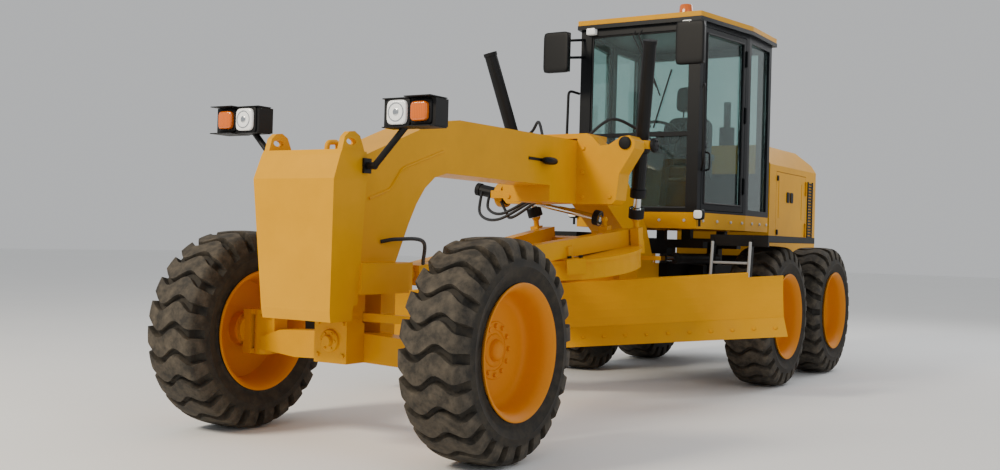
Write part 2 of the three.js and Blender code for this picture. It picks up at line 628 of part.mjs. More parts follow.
// ---- hydraulic cylinders --------------------------------------------------------------------
// Points along the line from one pin to the other, as distances from the first.
function line(from, to) {
  const start = new THREE.Vector3(...from);
  const along = new THREE.Vector3(...to).sub(start);
  const reach = along.length();
  along.normalize();
  return { reach, at: (t) => start.clone().addScaledVector(along, t).toArray() };
}

// Barrel held by a ball collar in a ring, rod with a cup over the far ball.
function swivelCylinder(name, swivel, eye, { above, below, inside, shell, rod, cupBack }) {
  const { reach, at } = line(swivel, eye);
  const barrel = join(bar(at(-above), at(below), shell, 16), ball(swivel, SWIVEL_BALL, 16));
  const bore = bar(at(45 - above), at(Math.max(below, SWIVEL_BALL) + 5), rod + FIT, 16);
  const cup = cut(bar(at(reach - 88), at(reach - cupBack), CLEVIS_BALL + 22, 16),
    ball(eye, CLEVIS_BALL + 12));
  node(`${name}_barrel`, cut(barrel, bore), slate);
  node(`${name}_rod`, join(bar(at(-inside), at(reach - 60), rod, 16), cup), chrome);
}

for (const [hand, side] of Object.entries(SIDES)) {
  const [x, y, z] = LIFT_SWIVEL;
  swivelCylinder(`lift_${hand}`, [x, side * y, z], onDrawbar(LIFT_BALLS[side > 0 ? 0 : 1]),
    { above: 870, below: 440, inside: 720, shell: 55, rod: 32, cupBack: 6 });
}
swivelCylinder('centre_shift', SHIFT_SWIVEL, onDrawbar(SHIFT_BALL),
  { above: 267, below: 70, inside: 190, shell: 52, rod: 26, cupBack: 40 });

// Barrel with a socket on the rear frame's ball, rod with a fork over the front frame's tongue.
function articulationCylinder(hand, side) {
  const turn = ([x, y, z]) => [x, side * y, z];
  const [from, to] = [turn(STEER_ANCHOR), turn(STEER_PIN)];
  const { reach, at } = line(from, to);
  const socket = (CLEVIS_BALL + FIT) / Math.cos(Math.PI / 12) ** 2;
  const barrel = cut(bar(at(35), at(1000), 48, 16), ball(from, socket),
    bar(at(100), at(1005), 28 + FIT, 16));
  const top = TONGUE_HALF + FIT;
  const jaws = [[-top - 22, -top], [top, top + 22]].map(([a, b]) => join(
    beam(at(reach - 130), at(reach), 80, b - a).translate(0, 0, (a + b) / 2),
    bar([to[0], to[1], to[2] + a], [to[0], to[1], to[2] + b], 40, 20)));
  const root = beam(at(reach - 140), at(reach - 102), 80, 2 * top + 44);
  node(`articulation_${hand}_barrel`, barrel, slate);
  node(`articulation_${hand}_rod`, join(bar(at(330), at(reach - 120), 28, 16), root, ...jaws), chrome);
}
for (const [hand, side] of Object.entries(SIDES)) articulationCylinder(hand, side);

// ---- rear frame, rear axle, tandems ---------------------------------------------------------
const RAIL_IN = 200;
const RAIL_OUT = 320;
const RAIL_LOW = 850;
const RAIL_TOP = 1130;
const HOOD_REAR_X = HOOD_FRONT_X - HOOD_LENGTH;
const BED = CAB_FLOOR - 150;
const CROSS_X = [CAB_FRONT_X - 540, CAB_FRONT_X - 1450];
const CROSS_TOP = 1380;
const AXLE_PAD = [262, 420];     // seats of the rear axle, out from the middle

// Deck over a tandem with its ladder at the front.
function accessSteps(side) {
  const outer = REAR_TRACK / 2 + HALF_TYRE + 35;
  const front = TANDEM_SPACING / 2 + 763;
  const under = Math.max(2 * TYRE_RADIUS - RIDE + 25, 1375);
  const top = under + 58;
  const inner = REAR_HALF + RUN;
  const plan = [[CAB_REAR_X + 10, inner], [BEND_X, inner], [front, FRONT_HALF + 80], [front, outer],
    [CAB_REAR_X + 10, outer]];
  const brackets = CROSS_X.map((x) => block([x + 10, 400, CROSS_TOP - 15], [x + 110, inner + 60, under + 20]));
  const rail = (y) => beam([front - 20, y, under + 10], [front + 60, y, 740], 24, 70);
  const treads = [1165, 965, 765].map((z) => {
    const x = front + 60 - (z - 740) * 0.126;
    return block([x - 75, FRONT_HALF + 112, z], [x + 30, outer - 160, z + 24]);
  });
  return mirrored(join(levelPlate(plan, under, top),
    block([front - 30, FRONT_HALF + 82, under - 45], [front, outer, top]),
    ...brackets, rail(FRONT_HALF + 112), rail(outer - 160), ...treads), side);
}

function rearFrame() {
  const p = PIVOT_X;
  const both = (make) => Object.values(SIDES).map((side) => mirrored(make(), side));
  const fork = [[PIVOT_LOW - 35, PIVOT_LOW], [PIVOT_HIGH, PIVOT_HIGH + 35]].map(([a, b]) => join(
    block([p - 260, -150, a], [p, 150, b]), bar([p, 0, a], [p, 0, b], 150, 24)));
  const [ax, ay, az] = STEER_ANCHOR;
  return join(
    block([p - 900, -170, PIVOT_LOW - 35], [p - 210, 170, PIVOT_HIGH + 35]),
    ...fork,
    bar([p, 0, PIVOT_LOW - 10], [p, 0, PIVOT_HIGH + 10], 51 - FIT, 24),
    block([p - 920, -RAIL_OUT, RAIL_LOW], [p - 740, RAIL_OUT, RAIL_TOP]),
    ...both(() => block([HOOD_REAR_X, RAIL_IN, RAIL_LOW], [p - 760, RAIL_OUT, RAIL_TOP])),
    ...both(() => join(block([ax - 45, RAIL_OUT - 20, az - 150], [ax + 45, ay - 64, az + 50]),
      bar([ax, ay - 70, az], [ax, ay, az], 22, 12), ball(STEER_ANCHOR, CLEVIS_BALL))),
    block([CROSS_X[0], -150, PIVOT_HIGH], [CROSS_X[0] + 120, 150, CROSS_TOP - 20]),
    ...both(() => block([CROSS_X[1], RAIL_IN, RAIL_TOP - 10], [CROSS_X[1] + 120, RAIL_OUT, CROSS_TOP])),
    ...CROSS_X.map((x) => block([x, -520, CROSS_TOP - 80], [x + 120, 520, CROSS_TOP])),
    ...CROSS_X.flatMap((x) => both(() =>
      block([x + 20, 290, CROSS_TOP - 10], [x + 100, 380, BED - FIT]))),
    ...[HOOD_FRONT_X - 130, HOOD_REAR_X + 180].map((x) => block(
      [x - 60, -HOOD_WIDTH / 2, RAIL_TOP - 70], [x + 60, HOOD_WIDTH / 2, HOOD_UNDER - FIT])),
    block([HOOD_REAR_X - 110, -HOOD_WIDTH / 2, RAIL_LOW], [HOOD_REAR_X, HOOD_WIDTH / 2, HOOD_UNDER + 60]),
    ...both(() => block([-150, AXLE_PAD[0], RATED_HUB + 131], [150, AXLE_PAD[1], RAIL_LOW + 20])),
    ...[HOOD_REAR_X + 400, HOOD_FRONT_X - 400].map((x) =>
      block([x - 50, -RAIL_OUT, RAIL_TOP - 30], [x + 50, RAIL_OUT, RAIL_TOP + 100])),
    accessSteps(1), accessSteps(-1),
  );
}

const CASE_IN = 520;
const CASE_OUT = REAR_TRACK / 2 - REAR_HUB_IN - FIT;
const CASE_HALF_HEIGHT = 175;

function tandemCase(side) {
  const reach = TANDEM_SPACING / 2;
  const s = new THREE.Shape();
  s.absarc(reach, RATED_HUB, CASE_HALF_HEIGHT, -Math.PI / 2, Math.PI / 2, false);
  s.lineTo(200, RATED_HUB + CASE_HALF_HEIGHT + 60);
  s.lineTo(-200, RATED_HUB + CASE_HALF_HEIGHT + 60);
  s.absarc(-reach, RATED_HUB, CASE_HALF_HEIGHT, Math.PI / 2, 1.5 * Math.PI, false);
  return mirrored(sidePlate(s, CASE_IN, CASE_OUT), side);
}

function rearAxle() {
  const reach = CASE_IN - FIT;
  const z = RATED_HUB;
  const housing = new THREE.LatheGeometry(points([
    [0, -reach], [180, -reach], [180, -reach + 40], [120, -reach + 60], [120, -260], [215, -120],
    [215, 120], [120, 260], [120, reach - 60], [180, reach - 40], [180, reach], [0, reach],
  ]), 20, Math.PI / 20).translate(0, 0, z);
  const pads = Object.values(SIDES).map((side) => mirrored(
    block([-150, AXLE_PAD[0], z], [150, AXLE_PAD[1], z + 131 - FIT]), side));
  const nose = bar([150, 0, z + 60], [480, 0, z + 60], 90, 16);
  return join(housing, ...pads, nose);
}

function engineBlock() {
  return block([HOOD_REAR_X + 260, -RAIL_OUT, RAIL_TOP + 100 + FIT], [HOOD_FRONT_X - 260, RAIL_OUT, 2050]);
}

node('rear_frame', rearFrame(), slate);
node('rear_axle', rearAxle(), slate);
for (const [hand, side] of Object.entries(SIDES)) node(`tandem_case_${hand}`, tandemCase(side), yellow);
node('engine_block', engineBlock(), iron);

// ---- engine hood with its side doors and rear grille ----------------------------------------
const HOOD_HALF = HOOD_WIDTH / 2;
const BEVEL_Z = HOOD_TOP - 210;
const BEVEL_IN = 110;
const HOOD_SLOPE = 480;
const DOOR_FRONT = HOOD_FRONT_X - 220;
const DOOR_REAR = HOOD_FRONT_X - 1290;
const DOOR_LOW = 1400;
const DOOR_TOP = 2175;
const DOOR_GAP = 6;
const PIN_OUT = 8;               // hinge axis outside the panel's face
const KNUCKLE_R = 12;

// Cross-section of the hood, `w` inside its skin.
const hoodSection = (w, low) => {
  const half = HOOD_HALF - w;
  return [[-half, low], [half, low], [half, BEVEL_Z - w / 2], [half - BEVEL_IN, HOOD_TOP - w],
    [BEVEL_IN - half, HOOD_TOP - w], [-half, BEVEL_Z - w / 2]];
};
// Sections meet this outline seen from the side: the top falls away at the back.
const hoodSide = (w) => [[HOOD_FRONT_X - w, HOOD_UNDER - 100], [HOOD_FRONT_X - w, HOOD_TOP + 50],
  [HOOD_REAR_X + HOOD_SLOPE, HOOD_TOP + 50 - w], [HOOD_REAR_X + HOOD_SLOPE, HOOD_TOP - w],
  [HOOD_REAR_X + 40, HOOD_TOP - 120 - w], [HOOD_REAR_X + w, HOOD_TOP - 200 - w],
  [HOOD_REAR_X + w, HOOD_UNDER - 100]];

const KNUCKLES = [[1500, 1580], [1990, 2070]];

function hood() {
  const outer = keep(crossPlate(hoodSection(0, HOOD_UNDER), HOOD_REAR_X, HOOD_FRONT_X),
    sidePlate(hoodSide(0), -HOOD_WIDTH, HOOD_WIDTH));
  const inner = keep(crossPlate(hoodSection(HOOD_WALL, HOOD_UNDER - 50), HOOD_REAR_X - 10, HOOD_FRONT_X + 10),
    sidePlate(hoodSide(HOOD_WALL), -HOOD_WIDTH, HOOD_WIDTH));
  const doorways = block([DOOR_REAR, -HOOD_WIDTH, DOOR_LOW], [DOOR_FRONT, HOOD_WIDTH, DOOR_TOP]);
  const grille = Array.from({ length: 9 }, (_, i) => block(
    [HOOD_REAR_X - 20, -380, 1375 + 84 * i], [HOOD_REAR_X + 100, 380, 1375 + 84 * i + 38]));
  const shell = cut(outer, inner, doorways, ...grille);
  const x = HOOD_FRONT_X - 620;
  const exhaust = [bar([x, -210, HOOD_TOP - 10], [x, -210, HOOD_TOP + 260], 85, 16),
    bar([x, -210, HOOD_TOP + 250], [x, -210, HOOD_TOP + 560], 38, 16)];
  const pinX = DOOR_REAR + DOOR_GAP / 2;
  const hinges = Object.values(SIDES).flatMap((side) => KNUCKLES.flatMap(([low, high]) => [
    bar([pinX, side * (HOOD_HALF + PIN_OUT), high + FIT], [pinX, side * (HOOD_HALF + PIN_OUT), high + 40],
      KNUCKLE_R, 12),
    bar([pinX, side * (HOOD_HALF + PIN_OUT), low - 40], [pinX, side * (HOOD_HALF + PIN_OUT), low - FIT],
      KNUCKLE_R, 12),
  ]));
  const relief = Object.values(SIDES).flatMap((side) => KNUCKLES.map(([low, high]) => mirrored(block(
    [pinX - 20, HOOD_HALF - 12, low - FIT], [pinX, HOOD_HALF + 20, high + FIT]), side)));
  return join(cut(shell, ...relief), ...hinges, ...exhaust);
}

function hoodDoor(side) {
  const panel = block([DOOR_REAR + DOOR_GAP, HOOD_HALF - HOOD_WALL, DOOR_LOW + DOOR_GAP],
    [DOOR_FRONT - DOOR_GAP, HOOD_HALF, DOOR_TOP - DOOR_GAP]);
  const pinX = DOOR_REAR + DOOR_GAP / 2;
  const knuckles = KNUCKLES.map(([low, high]) => bar(
    [pinX, HOOD_HALF + PIN_OUT, low], [pinX, HOOD_HALF + PIN_OUT, high], KNUCKLE_R, 12));
  const relief = KNUCKLES.flatMap(([low, high]) => [[low - 46, low], [high, high + 46]]
    .map(([a, b]) => block([pinX, HOOD_HALF - 12, a], [pinX + 20, HOOD_HALF + 20, b])));
  return mirrored(join(cut(panel, ...relief), ...knuckles), side);
}

node('engine_hood', hood(), yellow);
for (const [hand, side] of Object.entries(SIDES)) node(`hood_door_${hand}`, hoodDoor(side), yellow);

// ---- cab ------------------------------------------------------------------------------------
// Plan of the cab, `w` inside its outer faces.
function cabPlan(w) {
  const slant = w / Math.cos(WALL_ANGLE);
  const front = [CAB_FRONT_X - w, FRONT_HALF + w * Math.tan(WALL_ANGLE) - slant];
  const bend = [BEND_X, REAR_HALF - w - (slant - w) / 2];
  const rear = [CAB_REAR_X + w, REAR_HALF - w];
  const left = [front, bend, rear];
  return [...left, ...left.map(([x, y]) => [x, -y]).reverse()];
}

// The side doorway's frame of reference: origin at the bend, x along the wall to the front.
function onWall(side) {
  const group = new THREE.Group();
  group.position.set(BEND_X, side * REAR_HALF, 0);
  group.rotation.z = -side * WALL_ANGLE;
  return group;
}
const placedOnWall = (piece, side) => {
  const group = onWall(side);
  group.updateMatrix();
  return geometryOf(mirrored(solid(piece), side)).applyMatrix4(group.matrix);
};

const CAB_DOOR = { rear: 55, front: WALL_RUN - 62, low: CAB_FLOOR + 22, top: CAB_CEILING - 45 };
const CAB_KNUCKLES = [[1870, 1950], [2560, 2640], [3110, 3190]];
const FRONT_PANE = FRONT_HALF - 112;
const FRONT_PANE_LOW = CAB_FLOOR + 40;
const FRONT_PANE_TOP = CAB_CEILING - 70;
const SIDE_PANE = { x0: CAB_REAR_X + 70, x1: BEND_X - 60, low: CAB_FLOOR + 55, top: CAB_CEILING - 75 };
const REAR_PANE = { half: REAR_HALF - 130, low: 2080, top: CAB_CEILING - 90 };
const DOOR_PANE = { x0: 115, x1: WALL_RUN - 125, low: CAB_FLOOR + 95, top: CAB_CEILING - 110 };
const DOOR_THICK = 45;

function cabBase() {
  const plate = levelPlate(cabPlan(0), BED, CAB_FLOOR - FIT);
  const hollow = levelPlate(cabPlan(12), BED - 5, CAB_FLOOR - 60);
  const pads = CROSS_X.flatMap((x) => Object.values(SIDES).map((side) => mirrored(
    block([x, 270, BED], [x + 120, 400, CAB_FLOOR - 40]), side)));
  return join(cut(plate, hollow), ...pads);
}

function cabFrame() {
  const shell = cut(levelPlate(cabPlan(0), CAB_FLOOR, CAB_CEILING - FIT),
    levelPlate(cabPlan(CAB_WALL), CAB_FLOOR - 10, CAB_CEILING + 10));
  const x = CAB_FRONT_X;
  const front = block([x - 100, -FRONT_PANE, FRONT_PANE_LOW], [x + 20, FRONT_PANE, FRONT_PANE_TOP]);
  const transom = block([x - 30 + FIT, -FRONT_PANE - 5, TRANSOM_HEIGHT - 20],
    [x, FRONT_PANE + 5, TRANSOM_HEIGHT + 20]);
  const side = Object.values(SIDES).map((s) => mirrored(block(
    [SIDE_PANE.x0, REAR_HALF - 100, SIDE_PANE.low], [SIDE_PANE.x1, REAR_HALF + 20, SIDE_PANE.top]), s));
  const rear = block([CAB_REAR_X - 20, -REAR_PANE.half, REAR_PANE.low],
    [CAB_REAR_X + 100, REAR_PANE.half, REAR_PANE.top]);
  const doorways = Object.values(SIDES).map((s) => placedOnWall(block(
    [CAB_DOOR.rear, -120, CAB_DOOR.low], [CAB_DOOR.front, 40, CAB_DOOR.top]), s));
  const pinX = CAB_DOOR.rear + 3;
  const hinges = Object.values(SIDES).flatMap((s) => CAB_KNUCKLES.flatMap(([a, b]) => [
    placedOnWall(bar([pinX, PIN_OUT, b + FIT], [pinX, PIN_OUT, b + 36], KNUCKLE_R, 12), s),
    placedOnWall(bar([pinX, PIN_OUT, a - 36], [pinX, PIN_OUT, a - FIT], KNUCKLE_R, 12), s),
  ]));
  const relief = Object.values(SIDES).flatMap((s) => CAB_KNUCKLES.map(([a, b]) => placedOnWall(
    block([pinX - 20, -12, a - FIT], [pinX, 20, b + FIT]), s)));
  return join(cut(shell, front, ...side, rear, ...doorways, ...relief), transom, ...hinges,
    mirror(1), mirror(-1));
}

function cabDoor() {
  const panel = block([CAB_DOOR.rear + 6, -DOOR_THICK, CAB_DOOR.low + 6],
    [CAB_DOOR.front - 6, 0, CAB_DOOR.top - 6]);
  const opening = block([DOOR_PANE.x0, -DOOR_THICK - 10, DOOR_PANE.low], [DOOR_PANE.x1, 10, DOOR_PANE.top]);
  const pinX = CAB_DOOR.rear + 3;
  const knuckles = CAB_KNUCKLES.map(([a, b]) => bar([pinX, PIN_OUT, a], [pinX, PIN_OUT, b], KNUCKLE_R, 12));
  const relief = CAB_KNUCKLES.flatMap(([a, b]) => [[a - 42, a], [b, b + 42]]
    .map(([c, d]) => block([pinX, -12, c], [pinX + 20, 20, d])));
  return join(cut(panel, opening, ...relief), ...knuckles);
}
function doorGlass() {
  return block([DOOR_PANE.x0 + FIT, -25 - GLASS, DOOR_PANE.low + FIT],
    [DOOR_PANE.x1 - FIT, -25, DOOR_PANE.top - FIT]);
}

const frontPane = () => block([CAB_FRONT_X - 30 - GLASS, -FRONT_PANE + FIT, FRONT_PANE_LOW + FIT],
  [CAB_FRONT_X - 30, FRONT_PANE - FIT, FRONT_PANE_TOP - FIT]);
const sidePane = (side) => mirrored(block(
  [SIDE_PANE.x0 + FIT, REAR_HALF - 30 - GLASS, SIDE_PANE.low + FIT],
  [SIDE_PANE.x1 - FIT, REAR_HALF - 30, SIDE_PANE.top - FIT]), side);
const rearPane = () => block([CAB_REAR_X + 26, -REAR_PANE.half + FIT, REAR_PANE.low + FIT],
  [CAB_REAR_X + 26 + GLASS, REAR_PANE.half - FIT, REAR_PANE.top - FIT]);

const ROOF_TOP = CAB_CEILING + 80;
function cabRoof() {
  const plan = [[CAB_FRONT_X + 45, FRONT_HALF + 16], [BEND_X + 10, REAR_HALF + 38],
    [CAB_REAR_X - 65, REAR_HALF + 26]];
  const [x, y] = [CAB_FRONT_X - 200, 380];
  const beacon = [bar([x, y, ROOF_TOP - 10], [x, y, ROOF_TOP + 28], 62, 16),
    bar([x, y, ROOF_TOP + 20], [x, y, ROOF_TOP + 120], 48, 16, 44)];
  return join(levelPlate([...plan, ...plan.map(([a, b]) => [a, -b]).reverse()], CAB_CEILING, ROOF_TOP),
    ...beacon);
}

// Mirror on a two-tube arm from the front corner post.
function mirror(side) {
  const x = CAB_FRONT_X;
  const y = FRONT_HALF;
  const arms = [[3300, 3235], [3130, 3075]].map(([a, b]) =>
    bar([x - 10, y - 35, a], [x + 360, y + 40, b], 13, 10));
  return mirrored(join(...arms, block([x + 345, y - 70, 2938], [x + 395, y + 186, 3306])), side);
}

// Pedestal, cushion, backrest with headrest, and armrests.
function seat() {
  const x = CAB_REAR_X + 560;
  const z = CAB_FLOOR;
  const back = [[x - 255, z + 350], [x - 130, z + 350], [x - 175, z + 1010], [x - 180, z + 1310],
    [x - 270, z + 1310], [x - 290, z + 1010]];
  const rests = Object.values(SIDES).map((side) => mirrored(join(
    block([x - 180, 262, z + 560], [x + 200, 340, z + 620]),
    block([x - 200, 200, z + 560], [x - 140, 300, z + 620])), side));
  return join(block([x - 230, -220, z], [x + 230, 220, z + 60]),
    block([x - 160, -150, z], [x + 160, 150, z + 330]),
    block([x - 240, -240, z + 300], [x + 240, 240, z + 375]),
    block([x - 180, -230, z + 365], [x + 270, 230, z + 490]), sidePlate(back, -220, 220), ...rests);
}

// Steering post with its wheel, between two lever pods.
function controls() {
  const x = CAB_FRONT_X - 400;
  const z = CAB_FLOOR;
  const wheelAt = [x - 150, 0, z + 800];
  const tilt = new THREE.TorusGeometry(190, 15, 8, 20).rotateY(-0.5).translate(...wheelAt);
  const spoke = block([-6, -185, -12], [6, 185, 12]).rotateY(-0.5).translate(...wheelAt);
  const pods = Object.values(SIDES).map((side) => mirrored(
    block([x - 160, 250, z + 560], [x + 20, 420, z + 640]), side));
  const levers = Object.values(SIDES).flatMap((side) => [0, 1, 2].map((i) =>
    bar([x - 120 + 50 * i, side * 335, z + 620], [x - 135 + 50 * i, side * 330, z + 790], 9, 8)));
  return join(block([x - 40, -130, z], [x + 150, 130, z + 60]),
    beam([x + 60, 0, z + 25], [x - 60, 0, z + 560], 240, 160),
    bar([x - 60, 0, z + 500], wheelAt, 45, 12), tilt, spoke,
    block([x - 120, -300, z + 540], [x - 20, 300, z + 590]), ...pods, ...levers);
}

node('cab_base', cabBase(), yellow);
node('cab_frame', cabFrame(), slate);
node('cab_roof', cabRoof(), yellow);
node('windscreen', frontPane(), glass);
node('rear_window', rearPane(), glass);
node('seat', seat(), seatCloth);
node('control_console', controls(), black);
for (const [hand, side] of Object.entries(SIDES)) {
  node(`quarter_window_${hand}`, sidePane(side), glass);
  const wall = onWall(side);
  machine.add(wall);
  node(`cab_door_${hand}`, mirrored(cabDoor(), side), slate, wall);
  node(`door_glass_${hand}`, mirrored(doorGlass(), side), glass, wall);
}

export default machine;
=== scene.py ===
"""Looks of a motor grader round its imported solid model. Metres, +X forward, +Y left, +Z up."""

import json
import math

import bmesh
import bpy
import numpy as np
from mathutils import Matrix, Vector


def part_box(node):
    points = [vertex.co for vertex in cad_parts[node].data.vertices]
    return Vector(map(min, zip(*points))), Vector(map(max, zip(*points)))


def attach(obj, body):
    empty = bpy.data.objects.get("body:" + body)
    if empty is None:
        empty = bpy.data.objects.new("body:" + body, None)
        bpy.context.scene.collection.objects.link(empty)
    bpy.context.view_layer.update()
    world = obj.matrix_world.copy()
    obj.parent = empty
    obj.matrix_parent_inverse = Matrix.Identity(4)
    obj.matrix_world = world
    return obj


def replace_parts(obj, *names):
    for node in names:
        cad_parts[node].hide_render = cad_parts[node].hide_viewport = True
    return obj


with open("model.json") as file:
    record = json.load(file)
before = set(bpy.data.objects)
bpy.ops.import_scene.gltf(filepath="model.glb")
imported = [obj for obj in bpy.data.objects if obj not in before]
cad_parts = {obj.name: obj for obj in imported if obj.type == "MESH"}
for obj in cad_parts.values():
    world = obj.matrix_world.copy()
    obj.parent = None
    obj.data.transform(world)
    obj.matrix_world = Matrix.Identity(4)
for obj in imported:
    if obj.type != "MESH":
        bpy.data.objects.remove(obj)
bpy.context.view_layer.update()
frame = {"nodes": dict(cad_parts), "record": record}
NODES = frame["nodes"]
SIDES = {"left": 1, "right": -1}
# The tandem's middle is half way between the rear and the middle tyres.
TANDEM_X = sum(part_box("rear_left_tyre")[k].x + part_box("middle_left_tyre")[k].x
               for k in (0, 1)) / 4
# A direction that lies along none of the machine's own, to start a square pair from.
SKEW = [0.31, 0.52, 0.79]
# Six places round a circle, in radians.
SIXTHS = np.arange(0, 6, 1.047)


# ---- surfaces --------------------------------------------------------------------------------
def put(name, parts, material, body, smooth=40, bevel=None, subdivide=0):
    """One piece from a list of (points, faces): its mesh at the origin, riding on a body. Faces
    that meet at more than `smooth` degrees keep a sharp edge, and `bevel` rounds such edges."""
    points, faces, start = [], [], 0
    for p, f in parts:
        points.append(np.asarray(p, float))
        faces += [[start + i for i in q] for q in f]
        start += len(p)
    mesh = bpy.data.meshes.new(name)
    mesh.from_pydata(np.concatenate(points).tolist(), [], faces)
    outward = bmesh.new()
    outward.from_mesh(mesh)
    bmesh.ops.recalc_face_normals(outward, faces=outward.faces)
    outward.to_mesh(mesh)
    outward.free()
    mesh.materials.append(material)
    piece = bpy.data.objects.new(name, mesh)
    bpy.context.scene.collection.objects.link(piece)
    mesh.shade_smooth()
    mesh.set_sharp_from_angle(angle=math.radians(smooth))
    if bevel:
        cut = piece.modifiers.new("rounded edges", "BEVEL")
        cut.width, cut.segments = bevel, 2
        cut.limit_method, cut.angle_limit = "ANGLE", math.radians(35)
        cut.harden_normals = True
    if subdivide:
        finer = piece.modifiers.new("finer", "SUBSURF")
        finer.levels = finer.render_levels = subdivide
    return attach(piece, body)


def net(grid, round_u=False, round_v=False, caps=False):
    """Faces over a grid of points (u, v, 3): each cell is one quad, joined round where it closes,
    with the first and last v row closed by one face each where caps is set."""
    n, m = grid.shape[:2]
    index = np.arange(n * m).reshape(n, m)
    a = np.concatenate([index, index[:1]]) if round_u else index
    a = np.concatenate([a, a[:, :1]], 1) if round_v else a
    quads = np.stack([a[:-1, :-1], a[1:, :-1], a[1:, 1:], a[:-1, 1:]], -1).reshape(-1, 4).tolist()
    if caps:
        quads += [index[::-1, 0].tolist(), index[:, -1].tolist()]
    return grid.reshape(-1, 3), quads


def spun(profile, centre, side=1, steps=64, caps=False):
    """Rings about the Y axis: radius r and offset y of the profile, turned through angle a:
    x = r cos a, z = r sin a. side mirrors y."""
    profile = np.asarray(profile, float)
    a = np.linspace(0, 2 * np.pi, steps, endpoint=False)[:, None]
    r, y = profile[None, :, 0], np.repeat(profile[None, :, 1] * side, steps, 0)
    grid = np.stack([r * np.cos(a), y, r * np.sin(a)], -1)
    points, faces = net(grid if side > 0 else grid[::-1], True, caps=caps)
    return points + np.array(centre), faces


def lofted(path, radii, sides=12):
    """Tube round a path: at each point, a circle of that radius square to the path's direction."""
    path = np.asarray(path, float)
    radii = np.broadcast_to(radii, len(path))
    run = np.gradient(path, axis=0)
    run /= np.linalg.norm(run, axis=1)[:, None]
    up = np.array([0, 0, 1.0]) if abs(run[0, 2]) < 0.9 else np.array([1.0, 0, 0])
    across = np.cross(run, up)
    for i in range(1, len(path)):
        across[i] = across[i - 1] - run[i] * (across[i - 1] @ run[i])
    across /= np.linalg.norm(across, axis=1)[:, None]
    other = np.cross(run, across)
    a = np.linspace(0, 2 * np.pi, sides, endpoint=False)
    grid = (path[None] + radii[None, :, None] * (np.cos(a)[:, None, None] * across[None]
            + np.sin(a)[:, None, None] * other[None]))
    return net(grid, True, caps=True)


def curve(corners, steps=8):
    """A smooth line through the corners: a Catmull-Rom cubic between each pair of them."""
    p = np.asarray(corners, float)
    p = np.concatenate([[2 * p[0] - p[1]], p, [2 * p[-1] - p[-2]]])
    t = np.linspace(0, 1, steps, endpoint=False)[:, None]
    spans = [0.5 * (2 * p[i + 1] + (p[i + 2] - p[i]) * t
                    + (2 * p[i] - 5 * p[i + 1] + 4 * p[i + 2] - p[i + 3]) * t ** 2
                    + (3 * p[i + 1] - p[i] - 3 * p[i + 2] + p[i + 3]) * t ** 3)
             for i in range(len(p) - 3)]
    return np.concatenate([*spans, p[-2:-1]])


def bent(corners, radius, sides=12, fillet=0.04):
    """A bent tube: straight runs between the corners, each corner rounded by a quadratic arc."""
    p = np.asarray(corners, float)
    line = [p[:1]]
    for a, b, c in zip(p, p[1:], p[2:]):
        u, v = (a - b) / np.linalg.norm(a - b), (c - b) / np.linalg.norm(c - b)
        t = np.linspace(0, 1, 5)[:, None]
        line.append((1 - t) ** 2 * (b + u * fillet) + 2 * t * (1 - t) * b
                    + t ** 2 * (b + v * fillet))
    line.append(p[-1:])
    return lofted(np.concatenate(line), radius, sides)


def slab(low, high):
    """A box between two corners, as a grid of two rings of four points, closed at both ends."""
    (x0, y0, z0), (x1, y1, z1) = low, high
    ring = np.array([[x0, y0], [x1, y0], [x1, y1], [x0, y1]])
    grid = np.stack([np.column_stack([ring, np.full(4, z)]) for z in (z0, z1)], 1)
    return net(grid, True, caps=True)


def plate(outline, low, high, axis=1):
    """A plate with that outline, from low to high along an axis: the outline's two coordinates are
    the other two axes in order."""
    outline = np.asarray(outline, float)
    grid = np.stack([np.insert(outline, axis, h, axis=1) for h in (low, high)], 1)
    following = np.roll(outline, -1, axis=0)
    spin = np.sum(outline[:, 0] * following[:, 1] - following[:, 0] * outline[:, 1])
    if (spin > 0) == (axis == 1):
        grid = grid[::-1]
    return net(grid, True, caps=True)


def square_to(n):
    """Two unit directions, square to n and to each other."""
    u = np.cross(n, SKEW)
    u /= np.linalg.norm(u)
    return u, np.cross(n, u)


def bolts(places, normal, radius=0.016, height=0.012, sides=6):
    """Hexagon heads: for each place, a prism of that radius standing along the normal, with a
    smaller top ring for its chamfer."""
    n = np.asarray(normal, float) / np.linalg.norm(normal)
    u, v = square_to(n)
    a = np.arange(sides) * 2 * np.pi / sides
    ring = np.cos(a)[:, None] * u + np.sin(a)[:, None] * v
    rows = np.stack([ring * radius, ring * radius + n * height * 0.8,
                     ring * radius * 0.85 + n * height], 1)
    return [net(rows + p, True, caps=True) for p in np.atleast_2d(places)]


def turned_to(parts, matrix):
    """The same parts, with every point put through a 4x4 matrix."""
    m = np.array(matrix, float)
    return [(np.asarray(p) @ m[:3, :3].T + m[:3, 3], f) for p, f in parts]


def flipped(parts, side):
    """The same parts on the machine's other side: y changes sign and each face turns round."""
    if side > 0:
        return parts
    return [(np.asarray(p) * [1, -1, 1], [q[::-1] for q in f]) for p, f in parts]


# ---- materials -------------------------------------------------------------------------------
def linear(hexed):
    """sRGB hex to linear RGBA."""
    c = np.array([int(hexed[i:i + 2], 16) for i in (1, 3, 5)]) / 255
    return [*np.where(c <= 0.04045, c / 12.92, ((c + 0.055) / 1.055) ** 2.4), 1]


def add(tree, kind, settings=(), **links):
    """A node of that kind, with its settings, and its inputs set to values or linked sockets."""
    made = tree.nodes.new(kind)
    for key, value in dict(settings).items():
        setattr(made, key, value)
    for key, value in links.items():
        socket = made.inputs[int(key[1:])] if key[0] == "i" and key[1:].isdigit() else \
            made.inputs[key.replace("_", " ")]
        if isinstance(value, bpy.types.NodeSocket):
            tree.links.new(value, socket)
        else:
            socket.default_value = value
    return made


